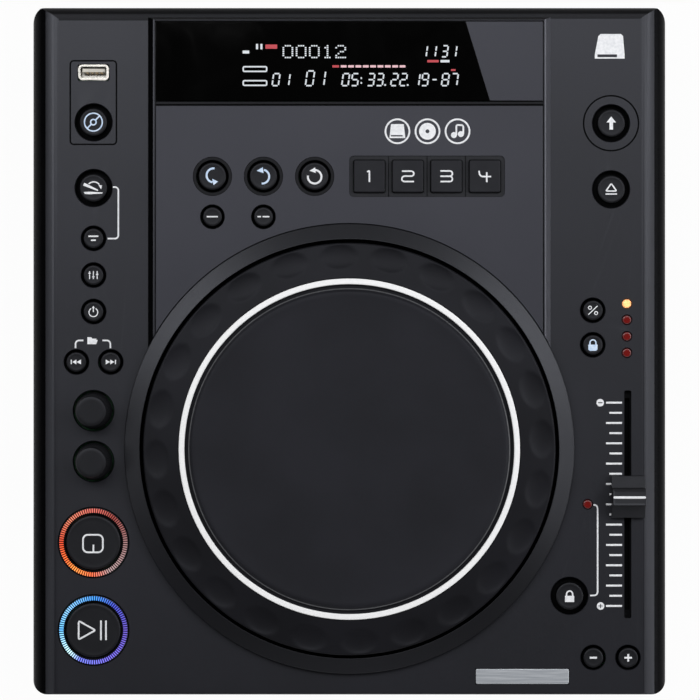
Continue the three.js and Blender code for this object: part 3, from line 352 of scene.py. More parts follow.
def housing_form(inset, foot):
    """The wedge: upright walls with round corners, cut by the sloping panel, its top edges rounded."""
    x, front, rear = shell_high.x - inset, shell_low.y + inset, shell_high.y - inset
    form = block("form", (-x, front, foot), (x, rear, 200))
    round_edges(form, upright, corner_radius - inset, 10)
    side = block("side", (-x - 20, front, foot - 20), (x + 20, rear, 220))
    halve(side, panel @ Vector((0, 0, -inset * mm)), panel_up, clear_outer=True)
    along_top = lambda m, a: abs(a.x) > 0.9 and m.z > foot
    round_edges(side, lambda m, a: along_top(m, a) and m.y > 0, rear_round - inset, 12)
    at_front = lambda m, a: along_top(m, a) and m.y < front + 1 and m.z > 60
    round_edges(side, at_front, max(front_round - inset, 0.7), 4)
    strip = block("strip", (-x, -300, -300), (x, 400, -inset))
    round_edges(strip, lambda m, a: abs(a.y) > 0.9 and m.z > -100, side_round - inset, 28)
    combine(form, side, "INTERSECT")
    combine(form, lay(strip), "INTERSECT")
    return form


def raised_block():
    """The block behind the jog wheel, with sloping sides, a thin rim round its pocket and room for the surround."""
    form = block("raised", (-block_half_width, 0, -wall / 2), (block_half_width, block_rear, block_rise))
    for vertex in form.data.vertices:
        if vertex.co.z > 0:
            vertex.co.x -= math.copysign(block_slope * mm, vertex.co.x)
            if vertex.co.y > 0.001:
                vertex.co.y -= 1.4 * mm
    round_edges(form, lambda m, a: m.z > block_rise - 0.1 and m.y > 1, 0.5, 4)
    combine(form, turned("well", [(surround_radius + 0.3, 0.15), (surround_radius + 0.3, 6)], 192))
    combine(form, block("pocket", (-inset_half_width, -5, 0), (inset_half_width, window_rear, 8)))
    return lay(form)


def countersunk(radius, top=0.0, sides=64):
    """A cutter for a round hole with a chamfered edge."""
    edge = radius + chamfer
    return turned("hole", [(radius, top - 7), (radius, top - chamfer), (edge, top), (edge, top + 3)], sides)


line_width, line_depth = 0.8, 0.8


def engraved(width, depth, corner, x, v):
    """A cutter for an engraved line with rounded corners."""
    line = rounded_block("line", width, depth, corner, -line_depth, 1, 24)
    both = 2 * line_width
    combine(line, rounded_block("inside", width - both, depth - both, corner - line_width, -3, 3, 24))
    return lay(line, x, v)


large_buttons = ["mode_button", "scratch_button", "shift_button", "eject_button", "pitch_lock_button"]
small_buttons = [
    "bank_button", "controller_button", "time_button", "skip_back_button", "skip_forward_button",
    "pitch_range_button", "key_lock_button", "bend_minus_button", "bend_plus_button",
]
knobs = ["search_knob", "track_knob"]
lamp_places = [(139.5, 72.8), (139.5, 64.7), (139.5, 56.4), (139.5, 48.1), (119.8, -28)]

shell = housing_form(0, shell_low.z)
combine(shell, raised_block(), "UNION")
combine(shell, housing_form(wall, shell_low.z - 2))
opening = block("opening", (-90.5, 0, -5), (90.5, 211, 3))
combine(opening, turned("kept", [(116.6, -8), (116.6, 6)], 96))
cutters = [lay(opening)]
for radius, sides, holed in (
    (9.35, 64, large_buttons), (6.2, 64, small_buttons), (17.7, 128, ["cue_button", "play_button"]), (10.2, 64, knobs),
):
    cutters += [lay(countersunk(radius, sides=sides), *seat(node)) for node in holed]
cutters += [lay(countersunk(2.4, sides=32), *place) for place in lamp_places]
cutters += [
    lay(rounded_block("fader_slot", 3.6, 114.4, 0.8, -7, 3, 4), 139.9, -28),
    lay(rounded_block("stick_hole", 16, 8.6, 1.2, -7, 3), *seat("usb_socket")),
    lay(block("badge_pocket", (-23.65, -4.1, -0.6), (23.65, 4.1, 3)), *seat("badge_plate")),
    lay(turned("well", [(well_hole, -9), (well_hole, 9)], 256)),
    block("front", (-66.3, -190, 35.1), (66.3, -170, 48.9)),
    block("rear", (-135, 160, 14), (135, 180, 54)),
    engraved(24, 42.8, 2.2, -128.6, 173.8),
    engraved(28.4, 28.4, 14.15, *seat("shift_button")),
]
combine(shell, gather("cutters", cutters))
soften(shell, 0, angle=24)
shell.name = "housing_shell"

black_abs = moulding("black_abs", (18, 18, 22), (22, 22, 27), 0.4)
# Near black with almost no sheen: painted shade for the outer part of the rounded sides and for the raised block's left
# wall, where no lamp falls.
painted_shade_side = moulding("painted_shade_side", (4, 4, 5), (6, 6, 7), 0.3, grain=1.5, relief=0.005, specular=0.04)
# Near black: painted shadow for the walls of holes and gaps, the button skirts, grooves and other hollows where light
# hardly reaches.
painted_shadow_black = moulding("painted_shadow_black", (2, 2, 2), (4, 4, 4), 0.6, cloud=20, specular=0.1)
# A lighter grey with a strong sheen: painted light on the raised block's right wall, as if a lamp on the right lit it.
painted_lit_wall = moulding("painted_lit_wall", (40, 40, 46), (44, 44, 50), 0.4, specular=0.9)
# A darker, duller grey: painted shade for the rear rounding, the rib behind the display groove and the sunk walls of
# the plate's dishes and tray.
painted_shade_abs = moulding("painted_shade_abs", (14, 14, 15), (18, 18, 19), 0.45, specular=0.18)


def second_tone(piece, material, chosen):
    """Gives the faces whose middle is chosen, in mm on the panel, another material."""
    piece.data.materials.append(material)
    for face in piece.data.polygons:
        if chosen(panel_back @ face.center / mm):
            face.material_index = len(piece.data.materials) - 1


put_on(shell, black_abs, "housing", "housing_plastic", "top_shell")
left_side, right_side = -152.6, 153.8
# Painted shade: past these bounds the housing's rounded sides are made near black.
second_tone(shell, painted_shade_side, lambda m: m.z > -side_round and not left_side < m.x < right_side)
# Painted shade on the raised block's left wall.
second_tone(shell, painted_shade_side, lambda m: -102.3 < m.x < -98.3 and 0.1 < m.z < 2.9)
# Painted light: the raised block's right wall is lighter than the rest of the shell.
second_tone(shell, painted_lit_wall, lambda m: 97.7 < m.x < 102.3 and 0.1 < m.z and m.y < 214.9)
# Painted shade on the rear rounding and the block's rear edge, which would otherwise catch the overhead lamp.
second_tone(shell, painted_shade_abs, lambda m: m.y > 214.9 and left_side < m.x < right_side and m.z > -8)
# Painted shadow on the walls of the shell's holes and openings.
second_tone(shell, painted_shadow_black, lambda m: abs(m.x) < 145 and -122 < m.y < 213 and -8 < m.z < -0.3)


# Centre panel: a separate moulding in dark grey ABS that drops into the raised block's pocket. A rib
# along its rear edge frames the display, the loop buttons sit in shallow dishes, and the pads share
# a sunk tray that is lined with thin black rubber.
def copy_of(piece, name):
    """A copy with its own mesh."""
    only(piece)
    bpy.ops.object.duplicate()
    bpy.context.object.name = name
    return bpy.context.object


def dished(hole, dish, drop=0.3):
    """A cutter for a button hole in the middle of a shallow dish."""
    floor_height = block_rise - drop
    return turned("dish", [
        (hole, -4), (hole, floor_height - 0.3), (hole + 0.3, floor_height), (dish, floor_height),
        (dish + 0.25, block_rise), (dish + 0.25, 6),
    ], 96)


def top_edge(middle, along):
    """Chooses the edges round a plate's top, but for the front one, which the surround covers."""
    on_panel = panel_back @ (middle * mm) / mm
    return on_panel.z > 2.9 and on_panel.y > 1


loop_buttons = ["loop_in_button", "loop_out_button", "reloop_button"]
little_buttons = ["sample_button", "sampler_play_button"]
pads = ["pad_1", "pad_2", "pad_3", "pad_4"]
tray_width, tray_depth, tray_drop = 78, 20.7, 0.8
tray_place = ((seat("pad_1")[0] + seat("pad_4")[0]) / 2, seat("pad_1")[1])

plate = lay(block("centre_plate", (-plate_half_width, 0, 0.3), (plate_half_width, 174.1, block_rise)))
round_edges(plate, top_edge, 0.25, 3)
combine(plate, lay(turned("arc", [(surround_radius + 0.3, -2), (surround_radius + 0.3, 8)], 256)))
for node in loop_buttons:
    combine(plate, lay(dished(8, 9.6), *seat(node)))
for node in little_buttons:
    combine(plate, lay(countersunk(5.9, top=block_rise), *seat(node)))
combine(plate, lay(block("groove", (-99, 171.9, 2), (99, 172.85, 6))))
tray = rounded_block("tray", tray_width, tray_depth, 2.2, block_rise - tray_drop, block_rise + 3)
combine(plate, lay(tray, *tray_place))
pad_hole = rounded_block("pad_hole", 16.3, 16.9, 1.3, -4, 8)
liner = lay(rounded_block("pad_tray", tray_width - 0.3, tray_depth - 0.3, 2.1, 1.9, 2.5), *tray_place)
for node in pads:
    for holed in (plate, liner):
        combine(holed, lay(copy_of(pad_hole, "hole"), *seat(node)))
for left, right in zip(pads, pads[1:]):
    seam_x = (seat(left)[0] + seat(right)[0]) / 2
    seam = block("seam", (seam_x - 0.25, tray_place[1] - 12, 2.2), (seam_x + 0.25, tray_place[1] + 12, 5))
    combine(liner, lay(seam))
bpy.data.objects.remove(pad_hole)
soften(plate, 0, angle=24)
soften(liner, 0, angle=24)
plate_abs = moulding("plate_abs", (38, 38, 45), (42, 42, 49), 0.45, grain=0.45, cloud=70)
black_rubber = moulding("black_rubber", (15, 15, 16), (20, 20, 21), 0.7, grain=0.3, relief=0.03, cloud=12)
put_on(plate, plate_abs, "housing", "panel_plastic", "centre_panel")
# Painted shade on the rib behind the groove and on the sunk walls of the dishes and the tray.
second_tone(plate, painted_shade_abs, lambda m: m.y > 172.86 or m.z < 2.87)
# Painted shadow in the groove, on the hole walls and below the plate's top.
second_tone(plate, painted_shadow_black, lambda m: m.z < 2.15 or 171.8 < m.y < 172.86 and m.z < 2.9)
put_on(liner, black_rubber, "housing", "panel_plastic")


# Display window: smoked acrylic over the fluorescent display, polished and dead black, and beside
# it, past a slanted line, a patch of the centre panel's satin plastic: a painted reflection lying across the window.
slant_low, slant_high = (70.9, 173.6), (58.1, 215.3)
slant_point = panel @ (Vector((*slant_low, 0)) * mm)
slant_side = panel.to_3x3() @ Vector((slant_high[1] - slant_low[1], slant_low[0] - slant_high[0], 0)).normalized()


def window_half(name, **kept):
    """The part of the window on one side of the slanted line where the painted reflection begins."""
    half = lay(block(name, (-plate_half_width, 174.6, 0.3), (plate_half_width, 214.3, 2.6)))
    halve(half, slant_point, slant_side, **kept)
    soften(half, 0.15, 2)
    return half


smoked_acrylic, shader = new_material("smoked_acrylic", {
    "Base Color": (*srgb(2, 2, 2), 1), "Specular IOR Level": 0.12})
wipes = noise(object_place(shader), 45, 6, 1.5)
feed(shader, {"Roughness": spread(wipes, 0.4, 0.75, 0.04, 0.09)})
display_glass = window_half("display_glass", clear_outer=True)
put_on(display_glass, smoked_acrylic, "housing", "window_acrylic", "display_window")
# Painted reflection: the window's right end is a patch of the centre panel's plastic.
put_on(window_half("window_reflection_patch", clear_inner=True), plate_abs, "housing", "window_acrylic")


# Jog wheel: a fixed surround is pressed round the well. The wheel that turns in it is one moulding
# in black ABS with 24 finger dips, a silver-lacquered ring and a touch plate under grained vinyl,
# on a steel spindle in the carrier's bearing.
surround = turned("jog_surround_ring", [
    (104.9, -11.7), (106.8, -11.7), (106.8, 0.3), (112.9, 0.3), (112.9, 3.3), (104.9, 6.4), (104.9, -11.7),
], 256, ring=True)
soften(surround, 0.45, 4)
grey_abs = moulding("grey_abs", (17, 17, 19), (21, 21, 24), 0.38, grain=0.45, cloud=70, specular=0.4)
put_on(lay(surround), grey_abs, "housing", "panel_plastic", "jog_surround")
# Painted shadow on the surround's inner wall, down in the gap round the jog wheel.
second_tone(surround, painted_shadow_black, lambda m: math.hypot(m.x, m.y) < 104.95)

rim_round = [
    (102.1 + math.cos(math.radians(angle)), 8.3 + math.sin(math.radians(angle))) for angle in range(0, 91, 18)
]
rim_slope = [(101.5 - 0.795 * i, 9.34 + 1.76 * i / 20) for i in range(21)]
rim = turned("jog_rim_moulding", [
    (6, 6.2), (98.9, 6.2), (98.9, -10), (102.4, -10), (102.4, 4), (103.1, 6.2), *rim_round, *rim_slope,
    (85.6, 11.1), (85.6, 9.2), (6, 9.2), (6, 6.2),
], 480, ring=True)
dip_count, dip_start, dip_radius, dip_half_width, dip_half_length, dip_depth = 24, 3, 96.2, 6.0, 9.2, 0.9
pitch = 360 / dip_count
for vertex in rim.data.vertices:
    radius = math.hypot(vertex.co.x, vertex.co.y) / mm
    angle = (math.degrees(math.atan2(vertex.co.y, vertex.co.x)) - dip_start + pitch / 2) % pitch - pitch / 2
    outward = (radius - dip_radius) / dip_half_width
    along = math.radians(angle) * dip_radius / dip_half_length
    reach = outward ** 2 + along ** 2
    if reach < 1 and vertex.co.z > 8.2 * mm:
        vertex.co.z -= dip_depth * (1 - reach) ** 0.7 * mm
soften(rim, 0, angle=35)
black_satin = moulding("black_satin", (20, 20, 23), (25, 25, 29), 0.46, relief=0.015, cloud=40, specular=0.15)
put_on(lay(rim), black_satin, "jog_wheel", "housing_plastic", "jog_rim")


def metal(name, dark, light, roughness, metallic, across, along):
    """Bare or lacquered metal with fine marks: brushed where they are longer along x than across it."""
    material, shader = new_material(name, {"Metallic": metallic})
    stretch = add(shader, "Mapping", {"Vector": object_place(shader), "Scale": (along, across, across)})
    marks = noise(stretch, 1, 4)
    feed(shader, {
        "Base Color": ramp(marks, (0.3, dark), (0.7, light)),
        "Roughness": spread(marks, 0, 1, roughness * 0.8, roughness * 1.25),
        "Normal": add(shader, "Bump", {"Strength": 0.3, "Distance": 0.004 * mm, "Height": marks}),
    })
    return material


accent = turned("jog_silver_ring", [
    (82.3, 9.5), (85.2, 9.5), (85.2, 11.4), (82.3, 11.4), (82.3, 9.5),
], 256, ring=True)
soften(accent, 0.5, 5)
silver_lacquer = metal("silver_lacquer", (246, 247, 249), (254, 254, 255), 0.35, 0.0, 900, 900)
put_on(lay(accent), silver_lacquer, "jog_wheel", "accent_silver", "jog_accent_ring")

touch = turned("jog_touch_disc", [
    (79.6, 9.5), (80.4, 10.0), (80.4, 10.6), (79.8, 11.2), (78.8, 12.1), (78.2, 12.4), (76.5, 12.4),
    (75, 12.25), (70, 12.2),
], 256)
soften(touch, 0, angle=24)
grained_vinyl = moulding(
    "grained_vinyl", (20, 20, 24), (26, 26, 31), 0.6, grain=0.7, relief=0.05, cloud=50, specular=0.25)
# A lighter grey metal ring round the disc's outer edge: a painted highlight on its bevel.
painted_edge_highlight = metal("painted_edge_highlight", (84, 85, 88), (98, 99, 102), 0.4, 0.4, 700, 700)
put_on(lay(touch), grained_vinyl, "jog_wheel", "touch_vinyl", "jog_touch_plate")
# Painted highlight on the touch disc's outer edge.
second_tone(touch, painted_edge_highlight, lambda m: 79.8 < math.hypot(m.x, m.y) and m.z > 10.4)


# Push buttons: round caps moulded in black ABS on a wide skirt that keeps dust out of the hole.
# A cap's top is slightly dished to centre a fingertip. Each stands on a switch on the board below.
def button_cap(cap, hole, base):
    """A round cap with a dished top, on its skirt."""
    piece = turned("cap", [
        (hole - 0.3, base - 7), (hole - 0.3, base - 5.6), (cap, base - 5.2), (cap, base + 0.75),
        (cap - 0.2, base + 1.2), (cap - 0.65, base + 1.4), (cap - 1.3, base + 1.35), (cap - 2.6, base + 1.15),
    ], 96)
    soften(piece, 0, angle=38)
    return piece


cap_plastic = moulding("cap_plastic", (13, 13, 15), (17, 17, 19), 0.48, grain=0.35, cloud=10, specular=0.3)
for buttons, cap, hole, base in (
    (large_buttons, 6.9, 9.6, 0), (small_buttons, 5, 6.4, 0),
    (loop_buttons, 6.9, 8, block_rise), (little_buttons, 4.8, 5.9, block_rise),
):
    first = button_cap(cap, hole, base)
    for node in buttons:
        copy = lay(copy_of(first, node.replace("_button", "_cap")), *seat(node))
        put_on(copy, cap_plastic, node, "cap_plastic", node)
        # Painted shadow on the cap's lower side and skirt, down in its hole.
        second_tone(copy, painted_shadow_black, lambda m: m.z < base + 0.4)
    bpy.data.objects.remove(first)


# Pads: four squares of silicone rubber with a soft edge and a slightly crowned top, standing
# through the tray on the display board's switches.
first = rounded_block("pad", 15.7, 16.3, 1, block_rise - 7, block_rise + 1.4)
round_edges(first, lambda m, a: m.z > block_rise + 1.3, 0.7, 4)
soften(first, 0, angle=24)
pad_rubber = moulding("pad_rubber", (20, 20, 23), (25, 25, 28), 0.6, grain=0.3, cloud=9, specular=0.3)
for node in pads:
    put_on(lay(copy_of(first, node + "_rubber"), *seat(node)), pad_rubber, node, "pad_rubber", node)
bpy.data.objects.remove(first)


# Cue and play: each button moves inside a clear ribbed ring that is lit from below by small
# coloured lamps, so its colour changes round the ring and the ribs break it into strokes.
ring_inner, lit_inner, lit_outer, ring_outer, rib_count = 14.1, 15.0, 17.1, 17.4, 90


def column_of(vertex, columns):
    """The number of the column, round the origin, that a vertex is in."""
    return round(math.atan2(vertex.co.y, vertex.co.x) / (2 * math.pi / columns))


def ribbed_ring(name):
    """The clear ring, its top cut into fine radial ribs."""
    ring = turned(name, [
        (ring_inner, -5), (ring_outer, -5), (ring_outer, 0.8), (lit_outer, 1.2), (lit_outer - 0.5, 1.6),
        (lit_inner + 0.3, 1.6), (lit_inner, 1.3), (ring_inner, 0.8), (ring_inner, -5),
    ], 2 * rib_count, ring=True)
    for vertex in ring.data.vertices:
        if vertex.co.z > 1.1 * mm and column_of(vertex, 2 * rib_count) % 2:
            vertex.co.z -= 0.6 * mm
    soften(ring, 0, angle=20)
    return ring


def ring_glow(name, node, stops):
    """Lit clear plastic: the colour goes round the ring from the left (0), by the front, to the left again (1)."""
    material, shader = new_material(name, {"Roughness": 0.25})
    centre = panel @ (Vector((*seat(node), 0)) * mm)
    centred = add(shader, "Mapping", {"Vector": object_place(shader), "Location": -centre})
    around = add(shader, "TexGradient", {"Vector": centred}, gradient_type="RADIAL").outputs["Fac"]
    colours = ramp(around, *stops)
    ribs = add(shader, "Math", {0: around, 1: rib_count * 2 * math.pi}, operation="MULTIPLY")
    wave = add(shader, "Math", {0: ribs}, operation="COSINE")
    unlit = {"Fac": 1, "Color1": colours, "Color2": (0.12, 0.12, 0.12, 1)}
    feed(shader, {
        "Base Color": add(shader, "MixRGB", unlit, blend_type="MULTIPLY"),
        "Emission Color": colours, "Emission Strength": spread(wave, -0.5, 1, 0.05, 2.0),
    })
    return material


cue_colours = [
    (0.0, (205, 70, 45)), (0.1, (240, 110, 55)), (0.15, (255, 150, 70)), (0.25, (235, 105, 70)),
    (0.33, (160, 135, 135)), (0.5, (140, 105, 105)), (0.64, (140, 65, 60)), (0.75, (200, 100, 90)),
    (0.88, (200, 115, 90)), (1.0, (205, 70, 45)),
]
play_colours = [
    (0.0, (95, 180, 240)), (0.12, (200, 245, 255)), (0.18, (110, 120, 225)), (0.33, (110, 100, 210)),
    (0.5, (95, 80, 175)), (0.64, (70, 80, 190)), (0.75, (65, 145, 225)), (0.9, (130, 190, 235)),
    (1.0, (95, 180, 240)),
]
for control, colours_round in (("cue", cue_colours), ("play", play_colours)):
    ring_node, cap_node = control + "_light_ring", control + "_button"
    lit = ring_glow(control + "_lit_plastic", ring_node, colours_round)
    ring = lay(ribbed_ring(control + "_ribbed_ring"), *seat(ring_node))
    put_on(ring, lit, "housing", control + "_light", ring_node)
    middle = Vector((*seat(ring_node), 0))
    second_tone(ring, black_abs, lambda m: (m - middle).xy.length > lit_outer - 0.02)
    # Painted shadow on the ring's inner wall.
    second_tone(ring, painted_shadow_black, lambda m: (m - middle).xy.length < lit_inner + 0.02)
    cap = turned(control + "_cap", [(13.8, -7), (13.8, 0.6), (13.55, 1.1), (13.0, 1.4), (12.2, 1.38), (10.5, 1.2)], 128)
    soften(cap, 0, angle=30)
    put_on(lay(cap, *seat(cap_node)), cap_plastic, cap_node, "cap_plastic", cap_node)
    # Painted shadow on the cap's lower side and skirt.
    second_tone(cap, painted_shadow_black, lambda m: m.z < 0.8)


# Search and track knobs: black ABS with fine flutes down the side for grip, pressed on the
# shafts of their encoders. The top is flat with a rounded edge.
flute_count = 48
for node in knobs:
    knob = turned(node + "_cap", [
        (3, -6.5), (3, -1.4), (9.2, -1.4), (9.2, 0.6), (8.9, 1.2), (8.6, 2.0), (8.0, 13.5), (7.7, 15.1),
        (7.2, 15.75), (6.5, 15.95), (5.6, 16), (4.8, 15.97),
    ], 3 * flute_count)
    for vertex in knob.data.vertices:
        if 1.5 * mm < vertex.co.z < 14.5 * mm and column_of(vertex, 3 * flute_count) % 3 == 0:
            vertex.co.x *= 0.965
            vertex.co.y *= 0.965
    soften(knob, 0, angle=30)
    put_on(lay(knob, *seat(node)), cap_plastic, node, "cap_plastic", node)


# Pitch fader: a matt black cap with sloping ends and a tall ridge, painted with one white line,
# on the steel lever of a slide potentiometer under the panel.
cap_base = block("fader_cap", (-8.4, -10.6, 1), (8.4, 10.6, 3.4))
only(cap_base)
for part in (*cap_base.data.vertices, *cap_base.data.edges):
    part.select = False
for face in cap_base.data.polygons:
    face.select = face.normal.z > 0.9
bpy.context.tool_settings.mesh_select_mode = (False, False, True)
bpy.ops.object.mode_set(mode="EDIT")
for rise, narrowing, height in ((3.0, 4.4 / 10.6, 6.4), (5.6, 4 / 4.4, 12)):
    bpy.ops.mesh.extrude_region_move(TRANSFORM_OT_translate={"value": (0, 0, rise * mm)})
    bpy.ops.transform.resize(value=(1, narrowing, 1), center_override=(0, 0, height * mm))
bpy.ops.mesh.inset(thickness=0.9 * mm)
bpy.ops.transform.translate(value=(0, 0, -0.35 * mm))
bpy.ops.object.mode_set(mode="OBJECT")
soften(cap_base, 0.4, 3, angle=20)
lever = block("lever", (-0.9, -3, -8), (0.9, 3, 1.5))
soften(lever, 0.2, 2)
fader_cap = gather("fader_cap", [cap_base, lever])
fader_plastic = moulding("fader_plastic", (16, 16, 18), (22, 22, 24), 0.5, grain=0.4, relief=0.03, cloud=9)
fader_place = seat("pitch_fader_cap")
put_on(lay(fader_cap, *fader_place), fader_plastic, "pitch_fader", "cap_plastic", "pitch_fader_cap")


# Socket for memory sticks: a deep-drawn steel shell with a turned-out lip, a moulded tongue
# and four gilt contacts, soldered to the left key board.
socket = rounded_block("stick_socket", 15.4, 8, 2.2, -0.5, 0, 6)
combine(socket, rounded_block("socket_body", 13.6, 6.2, 0.8, -10.1, -0.25, 3), "UNION")
combine(socket, rounded_block("space", 12.9, 5.6, 0.6, -9.1, 3, 3))
soften(socket, 0.12, 2)
tongue = block("stick_tongue", (-5.8, 0.3, -9.4), (5.8, 2.1, -1.5))
soften(tongue, 0.2, 2)
contacts = [block("contact", (x - 0.6, 0.22, -9), (x + 0.6, 0.5, -1.9)) for x in (-3.5, -1.2, 1.2, 3.5)]
contacts = gather("stick_contacts", contacts)
soften(contacts, 0.05, 2)
bright_steel = metal("bright_steel", (196, 194, 188), (225, 222, 215), 0.22, 1.0, 700, 90)
white_nylon = moulding("white_nylon", (196, 192, 182), (212, 208, 198), 0.5, grain=0.3, relief=0.01, cloud=6)
gilt = metal("gilt_contact", (190, 150, 70), (220, 180, 95), 0.25, 1.0, 600, 600)
socket_place = seat("usb_socket")
put_on(lay(socket, *socket_place), bright_steel, "housing", "bright_steel", "usb_socket")
put_on(lay(tongue, *socket_place), white_nylon, "housing", "bright_steel")
put_on(lay(contacts, *socket_place), gilt, "housing", "bright_steel")


# Name plate: a bare strip of brushed aluminium with bevelled edges, glued in a shallow pocket.
badge = rounded_block("name_plate", 46.7, 7.6, 0.8, -0.3, 0.5, 4)
soften(badge, 0.3, 3)
brushed_aluminium = metal("brushed_aluminium", (178, 184, 192), (214, 218, 224), 0.34, 0.5, 2600, 60)
put_on(lay(badge, *seat("badge_plate")), brushed_aluminium, "housing", "bright_steel", "badge_plate")


# Lamps: clear domed lenses beside the fader, over small lamps on the right key board. The
# first shines orange, the rest are red and faint.
def lit_lens(name, dim, bright, strength):
    """A lit lens, finely speckled by the frosted plastic."""
    material, shader = new_material(name, {"Roughness": 0.15, "Emission Strength": strength})
    tones = ramp(noise(object_place(shader), 1500), (0, dim), (1, bright))
    feed(shader, {"Base Color": tones, "Emission Color": tones})
    return material


orange_lens = lit_lens("orange_lens", (255, 124, 48), (255, 215, 150), 1.1)
red_lens = lit_lens("red_lens", (66, 9, 8), (112, 18, 15), 0.4)
for number, place in enumerate(lamp_places):
    lens = turned(f"lamp_lens_{number + 1}", [(2.12, -3.3), (2.12, 0.12), (1.85, 0.3), (1.5, 0.36), (1.1, 0.38)], 48)
    soften(lens, 0, angle=40)
    put_on(lay(lens, *place), red_lens if number else orange_lens, "housing", "panel_plastic")


# Slot bezel: the frame in the front wall that the disc slides through, in the same black ABS. Its mouth is
# funnelled, and two felt lips behind it keep dust out. The flange is screwed behind the wall.
def fore_and_aft(middle, along):
    """Chooses the edges that run from front to rear."""
    return abs(along.y) > 0.9


bezel = block("slot_bezel_frame", (-66, -176.7, 35.4), (66, -172.2, 48.6))
round_edges(bezel, fore_and_aft, 1.6, 5)
combine(bezel, block("flange", (-70, -173.7, 31.4), (70, -172.2, 52.6)), "UNION")
mouth = block("mouth", (-62, -180, 39.4), (62, -170, 44.6))
round_edges(mouth, fore_and_aft, 2.3, 6)
funnel = block("funnel", (-64, -177.5, 37.6), (64, -174.4, 46.4))
for vertex in funnel.data.vertices:
    if vertex.co.y > -0.175:
        vertex.co.x *= 61.6 / 64
        vertex.co.z = (42 + (vertex.co.z / mm - 42) * 2.3 / 4.4) * mm
combine(bezel, mouth)
combine(bezel, funnel)
soften(bezel, 0.3, 3)
put_on(bezel, black_abs, "housing", "black_gloss", "slot_bezel")
felt = moulding("black_felt", (12, 12, 13), (26, 26, 28), 0.95, grain=0.25, relief=0.12, cloud=3)
for name, low, high in (("upper_felt_lip", 42.5, 44.9), ("lower_felt_lip", 39.1, 41.5)):
    lip = block(name, (-61.8, -173.9, low), (61.8, -173.3, high))
    soften(lip, 0.2, 3)
    put_on(lip, felt, "housing", "foot_rubber")


# Feet: four turned rubber feet with a recess for the screw that holds each to the base pan.
def screw_head(name, radius, height):
    """A pan-head screw with a cross recess, standing on the origin."""
    head = turned(name, [
        (radius, -0.6), (radius, 0.3 * height), (radius * 0.92, 0.68 * height),
        (radius * 0.7, 0.93 * height), (radius * 0.42, height),
    ], 32)
    for wide, deep in ((0.16, 0.56), (0.56, 0.16)):
        wide, deep = wide * radius, deep * radius
        combine(head, block("cross", (-wide, -deep, height * 0.35), (wide, deep, 2 * height)))
    soften(head, 0, angle=30)
    return head


foot_rubber = moulding("foot_rubber", (24, 24, 25), (33, 33, 34), 0.8, grain=0.6, relief=0.06, cloud=7)
zinc_screw = metal("zinc_screw", (150, 150, 148), (190, 190, 186), 0.3, 1.0, 900, 900)
feet = (
    ("foot_front_left", -128, -145), ("foot_front_right", 128, -145),
    ("foot_rear_left", -128, 136), ("foot_rear_right", 128, 136),
)
for number, (node, x, y) in enumerate(feet, 1):
    foot = turned(f"rubber_foot_{number}", [
        (4.4, 3.4), (4.4, 0.5), (4.9, 0), (9.1, 0), (9.5, 0.12), (9.8, 0.6), (10.6, 5.6), (11, 6.3), (11, 8),
    ], 64)
    soften(foot, 0, angle=35)
    put_on(settle(foot, shifted(x, y, 0)), foot_rubber, "housing", "foot_rubber", node)
    fixing = screw_head(f"foot_fixing_{number}", 3.3, 1.7)
    settle(fixing, shifted(x, y, 3.5) @ Matrix.Rotation(math.pi, 4, "X"))
    put_on(fixing, zinc_screw, "housing", "zinc_sheet")


# Rear: the pressed steel panel carries the phono sockets of the main board, whose barrels come through
# in coloured collars, a data socket, the mains inlet and the rocker. Screws hold it to the shell.
def on_rear(piece, material, slot, x, y, z):
    """Turns a piece made on the ground to face the rear, and puts it in its place."""
    settle(piece, shifted(x, y, z) @ Matrix.Rotation(-math.pi / 2, 4, "X"))
    put_on(piece, material, "housing", slot)


for x, colour in ((70, (225, 225, 222)), (85, (170, 28, 26)), (100, (200, 95, 20))):
    dark = tuple(level * 0.9 for level in colour)
    plastic = moulding(f"collar_plastic_{x}", dark, colour, 0.4, grain=0.3, relief=0.01, cloud=3)
    for name, y, profile, sides in (
        ("collar", 167.8, ((4.35, -0.6), (6.5, -0.6), (6.5, 0.6), (6.1, 0.95), (4.7, 0.95), (4.35, 0.7)), 64),
        ("core", 176.9, ((1.7, -1.5), (3.2, -1.5), (3.2, 0.02), (1.7, 0.02)), 48),
    ):
        ring = turned(f"socket_{name}_{x}", [*profile, profile[0]], sides, ring=True)
        soften(ring, 0, angle=30)
        on_rear(ring, plastic, "cap_plastic", x, y, 25.1)
rear_screws = ((-130.8, 18.6), (-130.8, 49.4), (130.8, 18.6), (130.8, 49.4), (0, 49.4), (0, 18.6))
for number, (x, z) in enumerate(rear_screws, 1):
    on_rear(screw_head(f"rear_screw_{number}", 2.7, 1.5), zinc_screw, "zinc_sheet", x, 167.7, z)
for number, x in enumerate((-126.4, -97.6), 1):
    on_rear(screw_head(f"inlet_screw_{number}", 1.4, 0.5), zinc_screw, "zinc_sheet", x, 169.4, 34)


# What stays as the CAD has it: sheet steel, the sockets' plastic, and the boards. Steel is zinc-plated
# with a fine spangle or powder-coated black, and a board is green lacquer over copper tracks.
def finish(material, *names):
    """Gives CAD nodes their material."""
    for name in names:
        shape = frame["nodes"][name]
        if not shape.material_slots:
            shape.data.materials.append(material)
        for part in shape.material_slots:
            part.material = material


